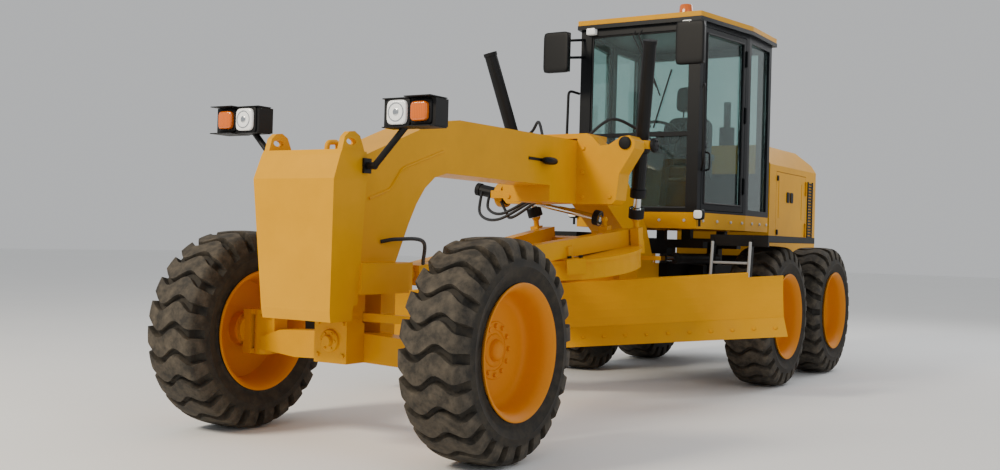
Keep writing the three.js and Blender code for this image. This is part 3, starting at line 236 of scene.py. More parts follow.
def shader(name, **values):
    """A new material with its Principled shader and the Object coordinates to work from."""
    m = bpy.data.materials.new(name)
    m.use_nodes = True
    tree = m.node_tree
    bsdf = tree.nodes["Principled BSDF"]
    for key, value in values.items():
        bsdf.inputs[key.replace("_", " ")].default_value = value
    place = tree.nodes.new("ShaderNodeTexCoord").outputs["Object"]
    return m, tree, bsdf, place


def dusty(name, colour, dust, roughness, amount=0.35, low=0.2, high=1.6, grain=300, **values):
    """A coated surface that has worked outdoors. Its tone drifts in soft clouds. Dust, of which
    `amount` is the most, covers it in specks, fully below the height `low` and thinly above
    `high`, and dulls it. `grain` is the scale of its faint sprayed texture."""
    m, tree, bsdf, place = shader(name, **values)
    clouds = add(tree, "ShaderNodeTexNoise", Vector=place, Scale=3.0, Detail=5.0, Roughness=0.6)
    specks = add(tree, "ShaderNodeTexNoise", Vector=place, Scale=60.0, Detail=3.0, Roughness=0.7)
    z = add(tree, "ShaderNodeSeparateXYZ", Vector=place).outputs["Z"]
    depth = add(tree, "ShaderNodeMapRange", i0=z, i1=low, i2=high, i3=1.0, i4=0.15).outputs[0]
    patch = add(tree, "ShaderNodeMapRange", i0=clouds.outputs[0], i1=0.42, i2=0.75,
                i3=0.1, i4=1.0).outputs[0]
    speck = add(tree, "ShaderNodeMapRange", i0=specks.outputs[0], i1=0.35, i2=0.7,
                i3=0.6, i4=1.0).outputs[0]
    cover = depth
    for share in (patch, speck, amount):
        cover = add(tree, "ShaderNodeMath", {"operation": "MULTIPLY"},
                    i0=cover, i1=share).outputs[0]
    drift = add(tree, "ShaderNodeMapRange", i0=clouds.outputs[0], i1=0.3, i2=0.7,
                i3=0.93, i4=1.05).outputs[0]
    tone = add(tree, "ShaderNodeHueSaturation", Value=drift, Color=linear(colour))
    mixed = add(tree, "ShaderNodeMix", {"data_type": "RGBA"}, i0=cover, i6=tone.outputs[0],
                i7=linear(dust))
    tree.links.new(mixed.outputs[2], bsdf.inputs["Base Color"])
    rough = add(tree, "ShaderNodeMapRange", i0=cover, i1=0.0, i2=0.5,
                i3=roughness, i4=0.9).outputs[0]
    tree.links.new(rough, bsdf.inputs["Roughness"])
    spray = add(tree, "ShaderNodeTexNoise", Vector=place, Scale=float(grain), Detail=2.0)
    relief = add(tree, "ShaderNodeBump", Strength=0.15, Distance=0.001, Height=spray.outputs[0])
    tree.links.new(relief.outputs[0], bsdf.inputs["Normal"])
    return m


# Sprayed two-part enamel over steel: a deep warm yellow with a soft clear gloss.
YELLOW = dusty("sprayed yellow enamel", "#e0a000", "#96702c", 0.38, 0.12, Coat_Weight=0.08,
               Coat_Roughness=0.1, Specular_IOR_Level=0.12)
# The same enamel on the pressed rims, darkened to orange as painted shade of the recessed rims, and
# dustier because they run in the dirt.
SHADED_RIM_PAINT = dusty("rim enamel darkened as painted shade", "#da8600", "#86602c", 0.5, 0.3, low=0.1, high=1.4,
                  Specular_IOR_Level=0.25)
# Powder coat on the cab posts and doors: blue-grey black, low gloss.
SLATE = dusty("slate powder coat", "#101317", "#5b574e", 0.4, 0.06, grain=500,
              Specular_IOR_Level=0.22)
# Satin black enamel on the chassis: near black, browned by dust low down.
BLACK = dusty("satin black enamel", "#101113", "#5f5648", 0.48, 0.25, grain=400,
              Specular_IOR_Level=0.25)
# Cast iron, painted black, with its sand-cast grain.
IRON = dusty("painted cast iron", "#141518", "#5f5648", 0.6, 0.3, grain=150,
             Specular_IOR_Level=0.25)
# Injection-moulded ABS with a fine spark-eroded texture.
PLASTIC = dusty("moulded black plastic", "#101113", "#5b574e", 0.5, 0.06, grain=700,
                Specular_IOR_Level=0.25)
# Yellow enamel on the blade's cutting edge, scuffed and caked with dust by the ground.
EDGE_PAINT = dusty("scuffed yellow enamel", "#dca000", "#8a7350", 0.45, 0.4,
                   Specular_IOR_Level=0.25)
# Pale grey enamel on the cab's bolt heads; on the ladders' rails and treads the same pale grey is a
# painted glint along their edges.
PALE_ENAMEL_AND_GLINT = dusty("pale grey enamel and painted glint", "#c9ccca", "#8b8577", 0.4, 0.25)


def tyre_rubber():
    """Carbon-black tread rubber: matt, greyed brown by dust, most of all on the lugs' tops; the
    grooves' floors stay dark as painted shade, and the walls stay dark too.
    """
    m, tree, bsdf, place = shader("dusty tread rubber with painted groove shade", Specular_IOR_Level=0.35)
    dirt = add(tree, "ShaderNodeTexNoise", Vector=place, Scale=14.0, Detail=8.0, Roughness=0.65)
    fine = add(tree, "ShaderNodeTexNoise", Vector=place, Scale=220.0, Detail=4.0)
    ramp = add(tree, "ShaderNodeMapRange", i0=dirt.outputs[0], i1=0.38, i2=0.72,
               i3=0.15, i4=0.85).outputs[0]
    tread = add(tree, "ShaderNodeAttribute", {"attribute_name": "tread"}).outputs["Fac"]
    # The tread value is low on the grooves' floors and the walls, so these keep the dark rubber:
    # painted shade in the grooves, dust on the lugs' tops.
    groove_shade_and_dust = add(tree, "ShaderNodeMapRange", i0=tread, i1=0.0, i2=1.0, i3=0.35, i4=1.0).outputs[0]
    amount = add(tree, "ShaderNodeMath", {"operation": "MULTIPLY"}, i0=ramp, i1=groove_shade_and_dust).outputs[0]
    mixed = add(tree, "ShaderNodeMix", {"data_type": "RGBA"}, i0=amount, i6=linear("#131210"),
                i7=linear("#665d50"))
    tree.links.new(mixed.outputs[2], bsdf.inputs["Base Color"])
    rough = add(tree, "ShaderNodeMapRange", i0=dirt.outputs[0], i1=0.3, i2=0.7,
                i3=0.68, i4=0.92).outputs[0]
    tree.links.new(rough, bsdf.inputs["Roughness"])
    relief = add(tree, "ShaderNodeBump", Strength=0.4, Distance=0.0015, Height=fine.outputs[0])
    tree.links.new(relief.outputs[0], bsdf.inputs["Normal"])
    return m


def chromed():
    """Hard chrome on the ground rods: mirror-like, with fine rings from grinding."""
    m, tree, bsdf, place = shader("hard chrome", Metallic=1.0, Base_Color=linear("#cfd2d4"))
    rings = add(tree, "ShaderNodeTexNoise", Vector=place, Scale=180.0, Detail=2.0)
    rough = add(tree, "ShaderNodeMapRange", i0=rings.outputs[0], i1=0.3, i2=0.7,
                i3=0.1, i4=0.22).outputs[0]
    tree.links.new(rough, bsdf.inputs["Roughness"])
    relief = add(tree, "ShaderNodeBump", Strength=0.05, Distance=0.0004, Height=rings.outputs[0])
    tree.links.new(relief.outputs[0], bsdf.inputs["Normal"])
    return m


def scraped_steel():
    """Hardened edge steel, bare and scraped: streaks along the blade and a bloom of rust."""
    m, tree, bsdf, place = shader("scraped edge steel", Metallic=0.75)
    streaks = add(tree, "ShaderNodeTexNoise", Vector=place, Scale=35.0, Detail=6.0, Roughness=0.7)
    mixed = add(tree, "ShaderNodeMix", {"data_type": "RGBA"}, i0=streaks.outputs[0],
                i6=linear("#8d8780"), i7=linear("#6b5138"))
    tree.links.new(mixed.outputs[2], bsdf.inputs["Base Color"])
    rough = add(tree, "ShaderNodeMapRange", i0=streaks.outputs[0], i1=0.3, i2=0.7,
                i3=0.35, i4=0.65).outputs[0]
    tree.links.new(rough, bsdf.inputs["Roughness"])
    relief = add(tree, "ShaderNodeBump", Strength=0.3, Distance=0.001, Height=streaks.outputs[0])
    tree.links.new(relief.outputs[0], bsdf.inputs["Normal"])
    return m


def tinted_glass():
    """Laminated safety glass, blue-green, with a thin film of dust that lightens it in patches."""
    m, tree, bsdf, place = shader("tinted safety glass", IOR=1.45, Transmission_Weight=0.97,
                                  Specular_IOR_Level=0.6)
    film = add(tree, "ShaderNodeTexNoise", Vector=place, Scale=2.5, Detail=4.0)
    mixed = add(tree, "ShaderNodeMix", {"data_type": "RGBA"}, i0=film.outputs[0],
                i6=linear("#bfdedb"), i7=linear("#cfe6e2"))
    tree.links.new(mixed.outputs[2], bsdf.inputs["Base Color"])
    rough = add(tree, "ShaderNodeMapRange", i0=film.outputs[0], i1=0.3, i2=0.8,
                i3=0.0, i4=0.015).outputs[0]
    tree.links.new(rough, bsdf.inputs["Roughness"])
    return m


def seat_weave():
    """Woven seat cover: charcoal yarns 3 mm apart, drawn at 6 mm so that they show."""
    m, tree, bsdf, place = shader("charcoal seat weave", Sheen_Weight=0.3, Roughness=0.9)
    weave = add(tree, "ShaderNodeTexWave", {"wave_type": "BANDS", "bands_direction": "DIAGONAL"},
                Vector=place, Scale=50.0, Distortion=1.5)
    mixed = add(tree, "ShaderNodeMix", {"data_type": "RGBA"}, i0=weave.outputs[1],
                i6=linear("#1d1f22"), i7=linear("#33363a"))
    tree.links.new(mixed.outputs[2], bsdf.inputs["Base Color"])
    relief = add(tree, "ShaderNodeBump", Strength=0.4, Distance=0.001, Height=weave.outputs[1])
    tree.links.new(relief.outputs[0], bsdf.inputs["Normal"])
    return m


def lens(name, colour, glow=0.0, **values):
    """Moulded polycarbonate over a reflector: fluted, glossy, and a little bright from inside."""
    m, tree, bsdf, place = shader(name, Roughness=0.12, Coat_Weight=0.6, **values)
    flutes = add(tree, "ShaderNodeTexWave", {"wave_type": "BANDS", "bands_direction": "Y"},
                 Vector=place, Scale=26.0)
    mixed = add(tree, "ShaderNodeMix", {"data_type": "RGBA"}, i0=flutes.outputs[1],
                i6=linear(colour), i7=[min(1, 1.25 * c) for c in linear(colour)])
    tree.links.new(mixed.outputs[2], bsdf.inputs["Base Color"])
    relief = add(tree, "ShaderNodeBump", Strength=0.35, Distance=0.002, Height=flutes.outputs[1])
    tree.links.new(relief.outputs[0], bsdf.inputs["Normal"])
    bsdf.inputs["Emission Color"].default_value = linear(colour)
    bsdf.inputs["Emission Strength"].default_value = glow
    return m


def hose_rubber():
    """Braid-covered hydraulic hose: black, with a fine wrapped texture."""
    m, tree, bsdf, place = shader("hydraulic hose", Roughness=0.55)
    wrap = add(tree, "ShaderNodeTexNoise", Vector=place, Scale=260.0, Detail=2.0)
    mixed = add(tree, "ShaderNodeMix", {"data_type": "RGBA"}, i0=wrap.outputs[0],
                i6=linear("#101113"), i7=linear("#27272a"))
    tree.links.new(mixed.outputs[2], bsdf.inputs["Base Color"])
    relief = add(tree, "ShaderNodeBump", Strength=0.3, Distance=0.001, Height=wrap.outputs[0])
    tree.links.new(relief.outputs[0], bsdf.inputs["Normal"])
    return m


RUBBER = tyre_rubber()
CHROME = chromed()
EDGE_STEEL = scraped_steel()
GLASS = tinted_glass()
CLOTH = seat_weave()
HOSE = hose_rubber()
CLEAR_LENS = lens("clear fluted lens", "#e9ebe8", 0.25)
AMBER_LENS = lens("amber fluted lens", "#d06400", 0.0)
MIRROR = lens("mirror backing", "#23262a")
RED_LENS = lens("red fluted lens", "#a01810", 0.2)


def at(x, y, z):
    """A point given from the middle of the tandem, in the model's frame."""
    return [x + TANDEM_X, y, z]


# ---- wheels ----------------------------------------------------------------------------------
def tyre_mesh(centre, outside, lugs=24, lug_height=0.042, half_tread=0.2, flank=0.045):
    """Cross-section: a crown, a shoulder, a bulging wall and a bead, as radius and offset y. Each
    lug's pitch has nine rings of points: three on the groove's floor and six on the lug, whose
    angles sway with y by a sine, so that the bars run across the tread in waves. The floor's
    points sink along the section's normals, and the grooves open towards the shoulder. A raised
    line runs round the wall. Gives the points, the faces and how far each point is up a lug."""
    crown_and_wall = [(0, 0), (0.001, 0.05), (0.003, 0.1), (0.007, 0.14), (0.014, 0.172),
                      (0.03, 0.194), (0.06, 0.207), (0.09, 0.214), (0.13, 0.2205),
                      (0.17, 0.2225), (0.2, 0.216), (0.225, 0.205)]
    bead = [[0.425, 0.199], [0.408, 0.203], [0.398, 0.2], [0.3905, 0.192]]
    half = np.array([[outside - drop, y] for drop, y in crown_and_wall] + bead)
    fine = curve(np.column_stack([half, np.zeros(len(half))]), 2)[:, :2]
    section = np.concatenate([fine[::-1], fine[1:] * [1, -1]])
    run = np.gradient(section, axis=0)
    normal = np.column_stack([-run[:, 1], run[:, 0]]) / np.linalg.norm(run, axis=1)[:, None]
    normal *= np.sign(normal[len(section) // 2, 0])
    r, y = section[:, 0][None, None], section[:, 1][None, None]
    across = np.clip(np.abs(y) / half_tread, 0, 1)
    width = 0.26 + 0.16 * across ** 2
    floor = np.array([0, 1, 1, 1, 0, 0, 0, 0, 0.0])[None, :, None]
    first = np.array([0, 0, 0.5, 1, 1, 1, 1, 1, 1.0])[None, :, None]
    inset = np.array([0, 1, 0, -1, 0, 0, 0, 0, 0.0])[None, :, None]
    later = np.array([0, 0, 0, 0, 0, 0.2, 0.4, 0.6, 0.8])[None, :, None]
    t = first * width + inset * flank + later * (1 - width)
    sway = 0.2 * np.sin(1.5 * np.pi * np.clip(y / half_tread, -1, 1))
    a = (np.arange(lugs)[:, None, None] + t + sway) * 2 * np.pi / lugs
    reach = np.clip((r - (outside - 0.13)) / 0.03, 0, 1)
    depth = lug_height * floor * reach * (0.75 + 0.25 * across)
    line = 0.005 * np.exp(-((r - (outside - 0.17)) / 0.006) ** 2)
    rr = r - normal[:, 0] * depth + np.zeros_like(a)
    yy = y - normal[:, 1] * depth + np.sign(y) * line + np.zeros_like(a)
    grid = np.stack([rr * np.cos(a), yy, rr * np.sin(a)], -1).reshape(9 * lugs, len(section), 3)
    # 1 on the lugs' tops, 0.12 on the grooves' floors and the walls; the rubber keeps the low ones
    # dark as painted shade in the grooves.
    tread = (0.12 + 0.88 * reach * (1 - floor) + np.zeros_like(a)).ravel()
    points, faces = net(grid, True, True)
    return points + np.asarray(centre), faces, tread


def rim_profile(hub_in):
    """From the hub cap out over the dish and lip, and back along the tyre's seat to the hub."""
    return [[0.004, 0.079], [0.03, 0.078], [0.05, 0.072], [0.062, 0.058], [0.066, 0.04],
            [0.092, 0.038], [0.098, 0.034], [0.1, 0.03], [0.29, 0.03], [0.315, 0.034],
            [0.33, 0.046], [0.338, 0.065], [0.342, 0.09], [0.35, 0.15], [0.356, 0.175],
            [0.368, 0.196], [0.384, 0.214], [0.396, 0.2235], [0.402, 0.2255], [0.4065, 0.223],
            [0.4075, 0.217], [0.404, 0.211], [0.394, 0.209], [0.3895, 0.206], [0.3895, -0.206],
            [0.404, -0.211], [0.4075, -0.217], [0.402, -0.2255], [0.39, -0.222], [0.372, -0.2],
            [0.35, -0.15], [0.342, -0.05], [0.33, -0.005], [0.3, 0.006], [0.122, 0.006],
            [0.116, 0.0], [0.116, -hub_in], [0.004, -hub_in]]


def wheel(name, body, side, hub_in, nut_circle=0.145, nut_count=12, valve_at=1.1):
    """A tyre that just clears the ground, its dished rim with nuts, and the valve's stem."""
    low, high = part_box(f"{name}_tyre")
    centre = (low + high) / 2
    centre.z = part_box(f"{name}_rim")[0].z / 2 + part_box(f"{name}_rim")[1].z / 2
    points, faces, tread = tyre_mesh(centre, centre.z - 0.0005)
    tyre = put(f"{name}_treaded_tyre", [(points, faces)], RUBBER, body, smooth=35)
    values = tyre.data.attributes.new("tread", "FLOAT", "POINT").data
    values.foreach_set("value", tread.astype(np.float32))
    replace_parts(tyre, f"{name}_tyre")
    dish = spun(rim_profile(hub_in), centre, side, 96, caps=True)
    a = np.linspace(0, 2 * np.pi, nut_count, endpoint=False)
    spots = np.stack([nut_circle * np.cos(a), np.full(nut_count, 0.03 * side),
                      nut_circle * np.sin(a)], -1)
    nuts = bolts(spots + np.array(centre), [0, side, 0], 0.014, 0.02)
    collar = spun([[0.118, 0.03], [0.122, 0.036], [0.168, 0.036], [0.174, 0.03]], centre, side)
    # The rims' enamel is darker and more orange than the body's yellow: painted shade.
    rim = put(f"{name}_dished_rim", [dish, *nuts, collar], SHADED_RIM_PAINT, body)
    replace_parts(rim, f"{name}_rim")
    stem = [list(centre + Vector((r * math.cos(valve_at), side * y, r * math.sin(valve_at))))
            for r, y in ((0.33, 0.04), (0.345, 0.09))]
    put(f"{name}_valve", [lofted(stem, [0.006, 0.005], 10)], HOSE, body)


for hand, side in SIDES.items():
    wheel(f"front_{hand}", f"front_wheel_{hand}", side, 0.06)
    wheel(f"middle_{hand}", f"middle_wheel_{hand}", side, 0.245)
    wheel(f"rear_{hand}", f"rear_wheel_{hand}", side, 0.245)


# ---- finishes of the solid model's own pieces --------------------------------------------------
def finish_node(name, material):
    """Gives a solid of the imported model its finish."""
    node = NODES[name]
    node.data.materials.clear()
    node.data.materials.append(material)


BY_SLOT = {"yellow": YELLOW, "amber_rim": SHADED_RIM_PAINT, "tyre": RUBBER, "slate": SLATE, "black": BLACK,
           "chrome": CHROME, "iron": IRON, "seat": CLOTH, "glass": GLASS, "plastic": PLASTIC,
           "steel": EDGE_STEEL}
for entry in frame["record"]["subparts"]:
    finish_node(entry["node"], BY_SLOT[entry["material_slot"]])
for name in ("rear_frame", "rear_axle", "centre_shift_barrel",
             *(f"{part}_{hand}{end}" for hand in SIDES for part, end in
               (("tandem_case", ""), ("lift", "_barrel"), ("articulation", "_barrel")))):
    finish_node(name, BLACK)
finish_node("cutting_edge", EDGE_PAINT)


# ---- small shapes used by several pieces -------------------------------------------------------
def pad(low, high, power=0.4, around=32, rows=17):
    """A stuffed form between two corners: a superellipsoid, whose sine and cosine terms are raised
    to a power below one, so that its faces are crowned and its sides pull in at the corners."""
    low, high = np.asarray(low, float), np.asarray(high, float)
    u = np.linspace(0, 2 * np.pi, around, endpoint=False)[:, None]
    v = np.linspace(-np.pi / 2, np.pi / 2, rows)[None, 1:-1]
    cu, su, cv, sv = (np.sign(w) * np.abs(w) ** power
                      for w in (np.cos(u), np.sin(u), np.cos(v), np.sin(v)))
    grid = np.stack([cv * cu, cv * su, np.broadcast_to(sv, (around, rows - 2))], -1)
    points, faces = net(grid, True, caps=True)
    return points * (high - low) / 2 + (high + low) / 2, faces


def sleeve(a, b, outer, inner, sides=24):
    """A hollow collar from point a to point b: four rings of points, closed both ways."""
    a, b = np.asarray(a, float), np.asarray(b, float)
    u, v = square_to((b - a) / np.linalg.norm(b - a))
    t = np.linspace(0, 2 * np.pi, sides, endpoint=False)[:, None]
    ring = np.cos(t) * u + np.sin(t) * v
    rows = [a + ring * outer, b + ring * outer, b + ring * inner, a + ring * inner]
    return net(np.stack(rows, 1), True, True)


def disc(centre, normal, radius, height, sides=28):
    """A round boss standing on a face, with its rim rounded by three rings."""
    n = np.asarray(normal, float) / np.linalg.norm(normal)
    c = np.asarray(centre, float)
    path = [c, c + n * height * 0.6, c + n * height * 0.88, c + n * height]
    return lofted(path, [radius, radius, radius * 0.95, radius * 0.85], sides)


def both(make):
    """The same pieces on both sides: make(hand, side) is called for each."""
    for hand, side in SIDES.items():
        make(hand, side)


# ---- lamps -------------------------------------------------------------------------------------
LAMP_Y, SIGNAL_Y, LAMP_Z = 0.608, 0.771, 2.046


def lamps_of(hand, side):
    """A clear headlamp and an amber signal in black bezels, each under and over a visor plate, and
    the small lamps on the neck, below the windscreen, under the roof and at the back."""
    body = "front_chassis"
    bezels = [pad(at(6.185, y - w, LAMP_Z - w), at(6.212, y + w, LAMP_Z + w), 0.3)
              for y, w in ((LAMP_Y, 0.088), (SIGNAL_Y, 0.076))]
    visors = [slab(at(6.09, 0.685, z), at(6.262, 0.872, z + 0.006)) for z in (1.957, 2.128)]
    brow = [slab(at(6.1, 0.495, z), at(6.216, 0.685, z + 0.006)) for z in (1.959, 2.126)]
    put(f"headlamp_bezel_{hand}", flipped(bezels + visors + brow, side), PLASTIC, body,
        bevel=0.002)
    clear = [pad(at(6.196, 0.537, 1.975), at(6.232, 0.679, 2.117), 0.42)]
    put(f"headlamp_lens_{hand}", flipped(clear, side), CLEAR_LENS, body)
    bulb = [disc(at(6.226, LAMP_Y, LAMP_Z), (1, 0, 0), 0.022, 0.009),
            sleeve(at(6.224, LAMP_Y, LAMP_Z), at(6.234, LAMP_Y, LAMP_Z), 0.056, 0.05)]
    put(f"headlamp_bulb_{hand}", flipped(bulb, side), CHROME, body)
    signal = [pad(at(6.196, 0.712, 1.988), at(6.24, 0.83, 2.104), 0.42)]
    put(f"turn_signal_{hand}", flipped(signal, side), AMBER_LENS, body)
    neck = [pad(at(3.64, 0.172, 1.925), at(3.82, 0.262, 1.985), 0.8),
            slab(at(3.66, 0.168, 1.95), at(3.98, 0.176, 1.972))]
    put(f"side_lamp_{hand}", flipped(neck, side), PLASTIC, body)
    housing = [pad(at(1.68, 0.6, 1.56), at(1.745, 0.7, 1.66), 0.5),
               lofted([at(1.7, 0.65, 1.5), at(1.7, 0.65, 1.57)], 0.012, 10)]
    put(f"work_lamp_{hand}", flipped(housing, side), PLASTIC, "rear_chassis")
    for name, low, high, power, material in (
            ("work_lens", (1.725, 0.61, 1.572), (1.757, 0.69, 1.648), 0.5, CLEAR_LENS),
            ("roof_lamp", (1.69, 0.45, 3.335), (1.755, 0.545, 3.4), 0.3, CLEAR_LENS),
            ("tail_lamp", (-2.375, 0.36, 1.12), (-2.35, 0.46, 1.18), 0.4, RED_LENS)):
        put(f"{name}_{hand}", flipped([pad(at(*low), at(*high), power)], side), material,
            "rear_chassis")


def beacon(heights, radii):
    """A round solid about the beacon's line, on the roof's left."""
    return [lofted([at(1.5, 0.38, z) for z in heights], radii, 32)]


both(lamps_of)
put("beacon_lens", beacon((3.5, 3.505, 3.575, 3.592, 3.598), [0.066, 0.066, 0.062, 0.055, 0.03]),
    AMBER_LENS, "rear_chassis")
put("beacon_base", beacon((3.472, 3.5), 0.07), PLASTIC, "rear_chassis")


# ---- cab ---------------------------------------------------------------------------------------
BAND_Z, BAND_HEAD = 1.555, 0.014
EAVES = (3.389, 3.428)


def roof_plan(grow):
    """The roof's plan, grown outwards."""
    half = [(1.745 + grow, 0.636 + grow), (0.81, 0.798 + grow), (0.075 - grow, 0.786 + grow)]
    return [at(x, y, 0)[:2] for x, y in half] + [at(x, -y, 0)[:2] for x, y in half[::-1]]


def frame_of(corners, radius):
    """Four straight tubes from corner to corner, as a seal round a pane."""
    return [lofted([corners[i], corners[(i + 1) % 4]], radius, 8) for i in range(4)]


put("roof_underside", [plate(roof_plan(0.004), *EAVES, axis=2)], SLATE, "rear_chassis")
band = [at(1.7, y, BAND_Z) for y in (-0.5, -0.25, 0.25, 0.5)]
put("band_bolts", bolts(band, [1, 0, 0], BAND_HEAD), PALE_ENAMEL_AND_GLINT, "rear_chassis")


def cab_side(hand, side):
    """Bolts along the band, the grab rail, the door's handle and seal, and the mirror."""
    slope = [at(1.7 - 0.9 * t, 0.62 + 0.14 * t, BAND_Z) for t in (0.12, 0.4, 0.68, 0.92)]
    straight = [at(x, 0.76, BAND_Z) for x in (0.62, 0.4, 0.2)]
    heads = bolts(slope, [0.154, 0.988, 0], BAND_HEAD) + bolts(straight, [0, 1, 0], BAND_HEAD)
    put(f"band_bolts_{hand}", flipped(heads, side), PALE_ENAMEL_AND_GLINT, "rear_chassis")
    rail = [at(1.67, 0.645, 2.78), at(1.79, 0.7, 2.8), at(1.79, 0.71, 2.1), at(1.67, 0.645, 2.02)]
    put(f"grab_rail_{hand}", flipped([bent(rail, 0.013, 12, 0.05)], side), BLACK, "rear_chassis")
    # The door's own frame: from its hinge, along the leaf, which stands 8.84 degrees in.
    door = Matrix.Translation(at(0.8, 0.76, 0)) @ Matrix.Rotation(math.radians(-8.84), 4, "Z")
    grip = [(0.79, 0.0, 2.02), (0.79, 0.05, 2.03), (0.79, 0.05, 2.18), (0.79, 0.0, 2.19)]
    handle = [bent(grip, 0.009, 10, 0.02), disc((0.79, 0.0, 2.24), (0, 1, 0), 0.016, 0.01)]
    put(f"door_handle_{hand}", flipped(turned_to(handle, door), side), SLATE, f"door_{hand}")
    pane = [(x, 0.0, z) for x, z in
            ((0.108, 1.718), (0.793, 1.718), (0.793, 3.292), (0.108, 3.292))]
    put(f"door_seal_{hand}", flipped(turned_to(frame_of(pane, 0.009), door), side), HOSE,
        f"door_{hand}")
    for name, low, high, power, material in (
            ("mirror_shell", (2.05, 0.544, 2.93), (2.112, 0.812, 3.314), 0.22, PLASTIC),
            ("mirror_face", (2.034, 0.565, 2.955), (2.048, 0.79, 3.29), 0.25, MIRROR)):
        put(f"{name}_{hand}", flipped([pad(at(*low), at(*high), power)], side), material,
            "rear_chassis")


both(cab_side)
panels = [slab(at(1.2, -0.17, 2.1), at(1.215, 0.17, 2.3)),
          slab(at(1.3, 0.34, 2.3), at(1.33, 0.56, 2.5))]
put("display_panels", panels, MIRROR, "rear_chassis", bevel=0.004)
wiper = [bent([at(1.69, 0.03, 3.36), at(1.72, 0.0, 3.3), at(1.69, 0.22, 2.72)], 0.007, 8, 0.02),
         bent([at(1.69, -0.04, 3.36), at(1.72, -0.06, 3.3), at(1.69, 0.18, 2.8)], 0.005, 8, 0.02),
         lofted([at(1.685, 0.33, 2.96), at(1.685, 0.16, 2.42)], 0.008, 8)]
put("windscreen_wiper", wiper, HOSE, "rear_chassis")
windscreen = [at(1.672, y, z) for y, z in
              ((-0.505, 1.672), (0.505, 1.672), (0.505, 3.322), (-0.505, 3.322))]
put("windscreen_seal", frame_of(windscreen, 0.012), HOSE, "rear_chassis")

# Cushions of moulded foam under woven covers: closed surfaces with a subdivision modifier.
CROWN = 0.38


def cushion(name, parts):
    """One padded piece of the seat, full but not tight."""
    put(name, parts, CLOTH, "rear_chassis", smooth=80, subdivide=1)


for name, low, high in (("seat_cushion", (0.52, -0.24, 1.985), (0.99, 0.24, 2.125)),
                        ("seat_bolster_left", (0.54, 0.17, 2.04), (0.96, 0.25, 2.155)),
                        ("seat_bolster_right", (0.54, -0.25, 2.04), (0.96, -0.17, 2.155)),
                        ("armrest_left", (0.56, 0.262, 2.185), (0.9, 0.34, 2.255)),
                        ("armrest_right", (0.56, -0.34, 2.185), (0.9, -0.262, 2.255))):
    cushion(name, [pad(at(*low), at(*high), CROWN)])
recline = Matrix.Translation(at(0.5, 0, 2.04)) @ Matrix.Rotation(math.radians(-6), 4, "Y")
for name, low, high in (("seat_back", (-0.07, -0.24, 0.0), (0.06, 0.24, 0.62)),
                        ("seat_back_left", (-0.04, 0.17, 0.05), (0.095, 0.25, 0.56)),
                        ("seat_back_right", (-0.04, -0.25, 0.05), (0.095, -0.17, 0.56)),
                        ("headrest", (-0.06, -0.15, 0.68), (0.05, 0.15, 0.94))):
    cushion(name, turned_to([pad(low, high, CROWN)], recline))
# A plastic pan, the headrest's two posts and the armrests' brackets.
low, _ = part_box("seat")
posts = [lofted([(0, y, 0.6), (0, y, 0.72)], 0.008, 8) for y in (-0.07, 0.07)]
base = [pad((low.x + 0.02, -0.2, low.z), (low.x + 0.42, 0.2, 1.99), 0.2),
        *turned_to(posts, recline),
        *[slab(at(0.6, y - 0.02, 2.0), at(0.66, y + 0.02, 2.2)) for y in (-0.3, 0.3)]]
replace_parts(put("seat_base", base, PLASTIC, "rear_chassis"), "seat")
levers = []
for y in (-0.24, -0.18, -0.12, 0.12, 0.18, 0.24):
    levers += [lofted([at(1.24, y, 2.2), at(1.18, y, 2.48)], 0.006, 8),
               pad(at(1.155, y - 0.02, 2.47), at(1.195, y + 0.02, 2.52), 1.0, 16, 9)]
put("control_levers", levers, PLASTIC, "rear_chassis")


# ---- hood --------------------------------------------------------------------------------------
def hood_side(hand, side):
    """The side door's vents, ribs and latches, and the louvre behind it."""
    panel = f"side_panel_{hand}"
    vents = [pad(at(x - 0.045, 0.53, 1.84), at(x + 0.045, 0.547, 1.96), 0.3)
             for x in (-1.19, -1.32)]
    ribs = [slab(at(x - 0.035, 0.53, 1.66), at(x + 0.035, 0.539, 2.08)) for x in (-0.9, -1.73)]
    put(f"hood_vents_{hand}", flipped(vents, side), PLASTIC, panel)
    put(f"hood_ribs_{hand}", flipped(ribs, side), YELLOW, panel, bevel=0.003)
    latches = [pad(at(-0.82 - 0.02, 0.53, z - 0.03), at(-0.82 + 0.02, 0.55, z + 0.03), 0.3)
               for z in (1.5, 2.1)]
    put(f"hood_latches_{hand}", flipped(latches, side), PLASTIC, panel)
    slats = [slab(at(-2.09, 0.534, z), at(-1.94, 0.543, z + 0.02))
             for z in np.arange(1.42, 2.1, 0.035)]
    uprights = [slab(at(x - 0.012, 0.534, 1.39), at(x + 0.012, 0.546, 2.12))
                for x in (-2.1, -1.93)]
    put(f"hood_louvre_{hand}", flipped(slats + uprights, side), PLASTIC, "rear_chassis")


both(hood_side)
rear_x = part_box("engine_hood")[0].x
grille = [slab((rear_x - 0.012, -0.42, z), (rear_x + 0.01, 0.42, z + 0.018))
          for z in np.arange(1.4, 2.05, 0.045)]
put("rear_grille", grille, PLASTIC, "rear_chassis")
# The pipe and, round its foot, the silencer: from, to, outer and inner radius.
put("exhaust_pipe", [sleeve(at(-1.18, -0.21, z0), at(-1.18, -0.21, z1), outer, inner)
                     for z0, z1, outer, inner in
                     ((2.6, 3.012, 0.041, 0.034), (2.44, 2.715, 0.088, 0.03))],
    IRON, "rear_chassis")


# ---- gooseneck, saddle, hoses ------------------------------------------------------------------
SWIVEL_X, SWIVEL_Z = 2.883, 2.14
AXLE_PIVOT_Z = 0.67


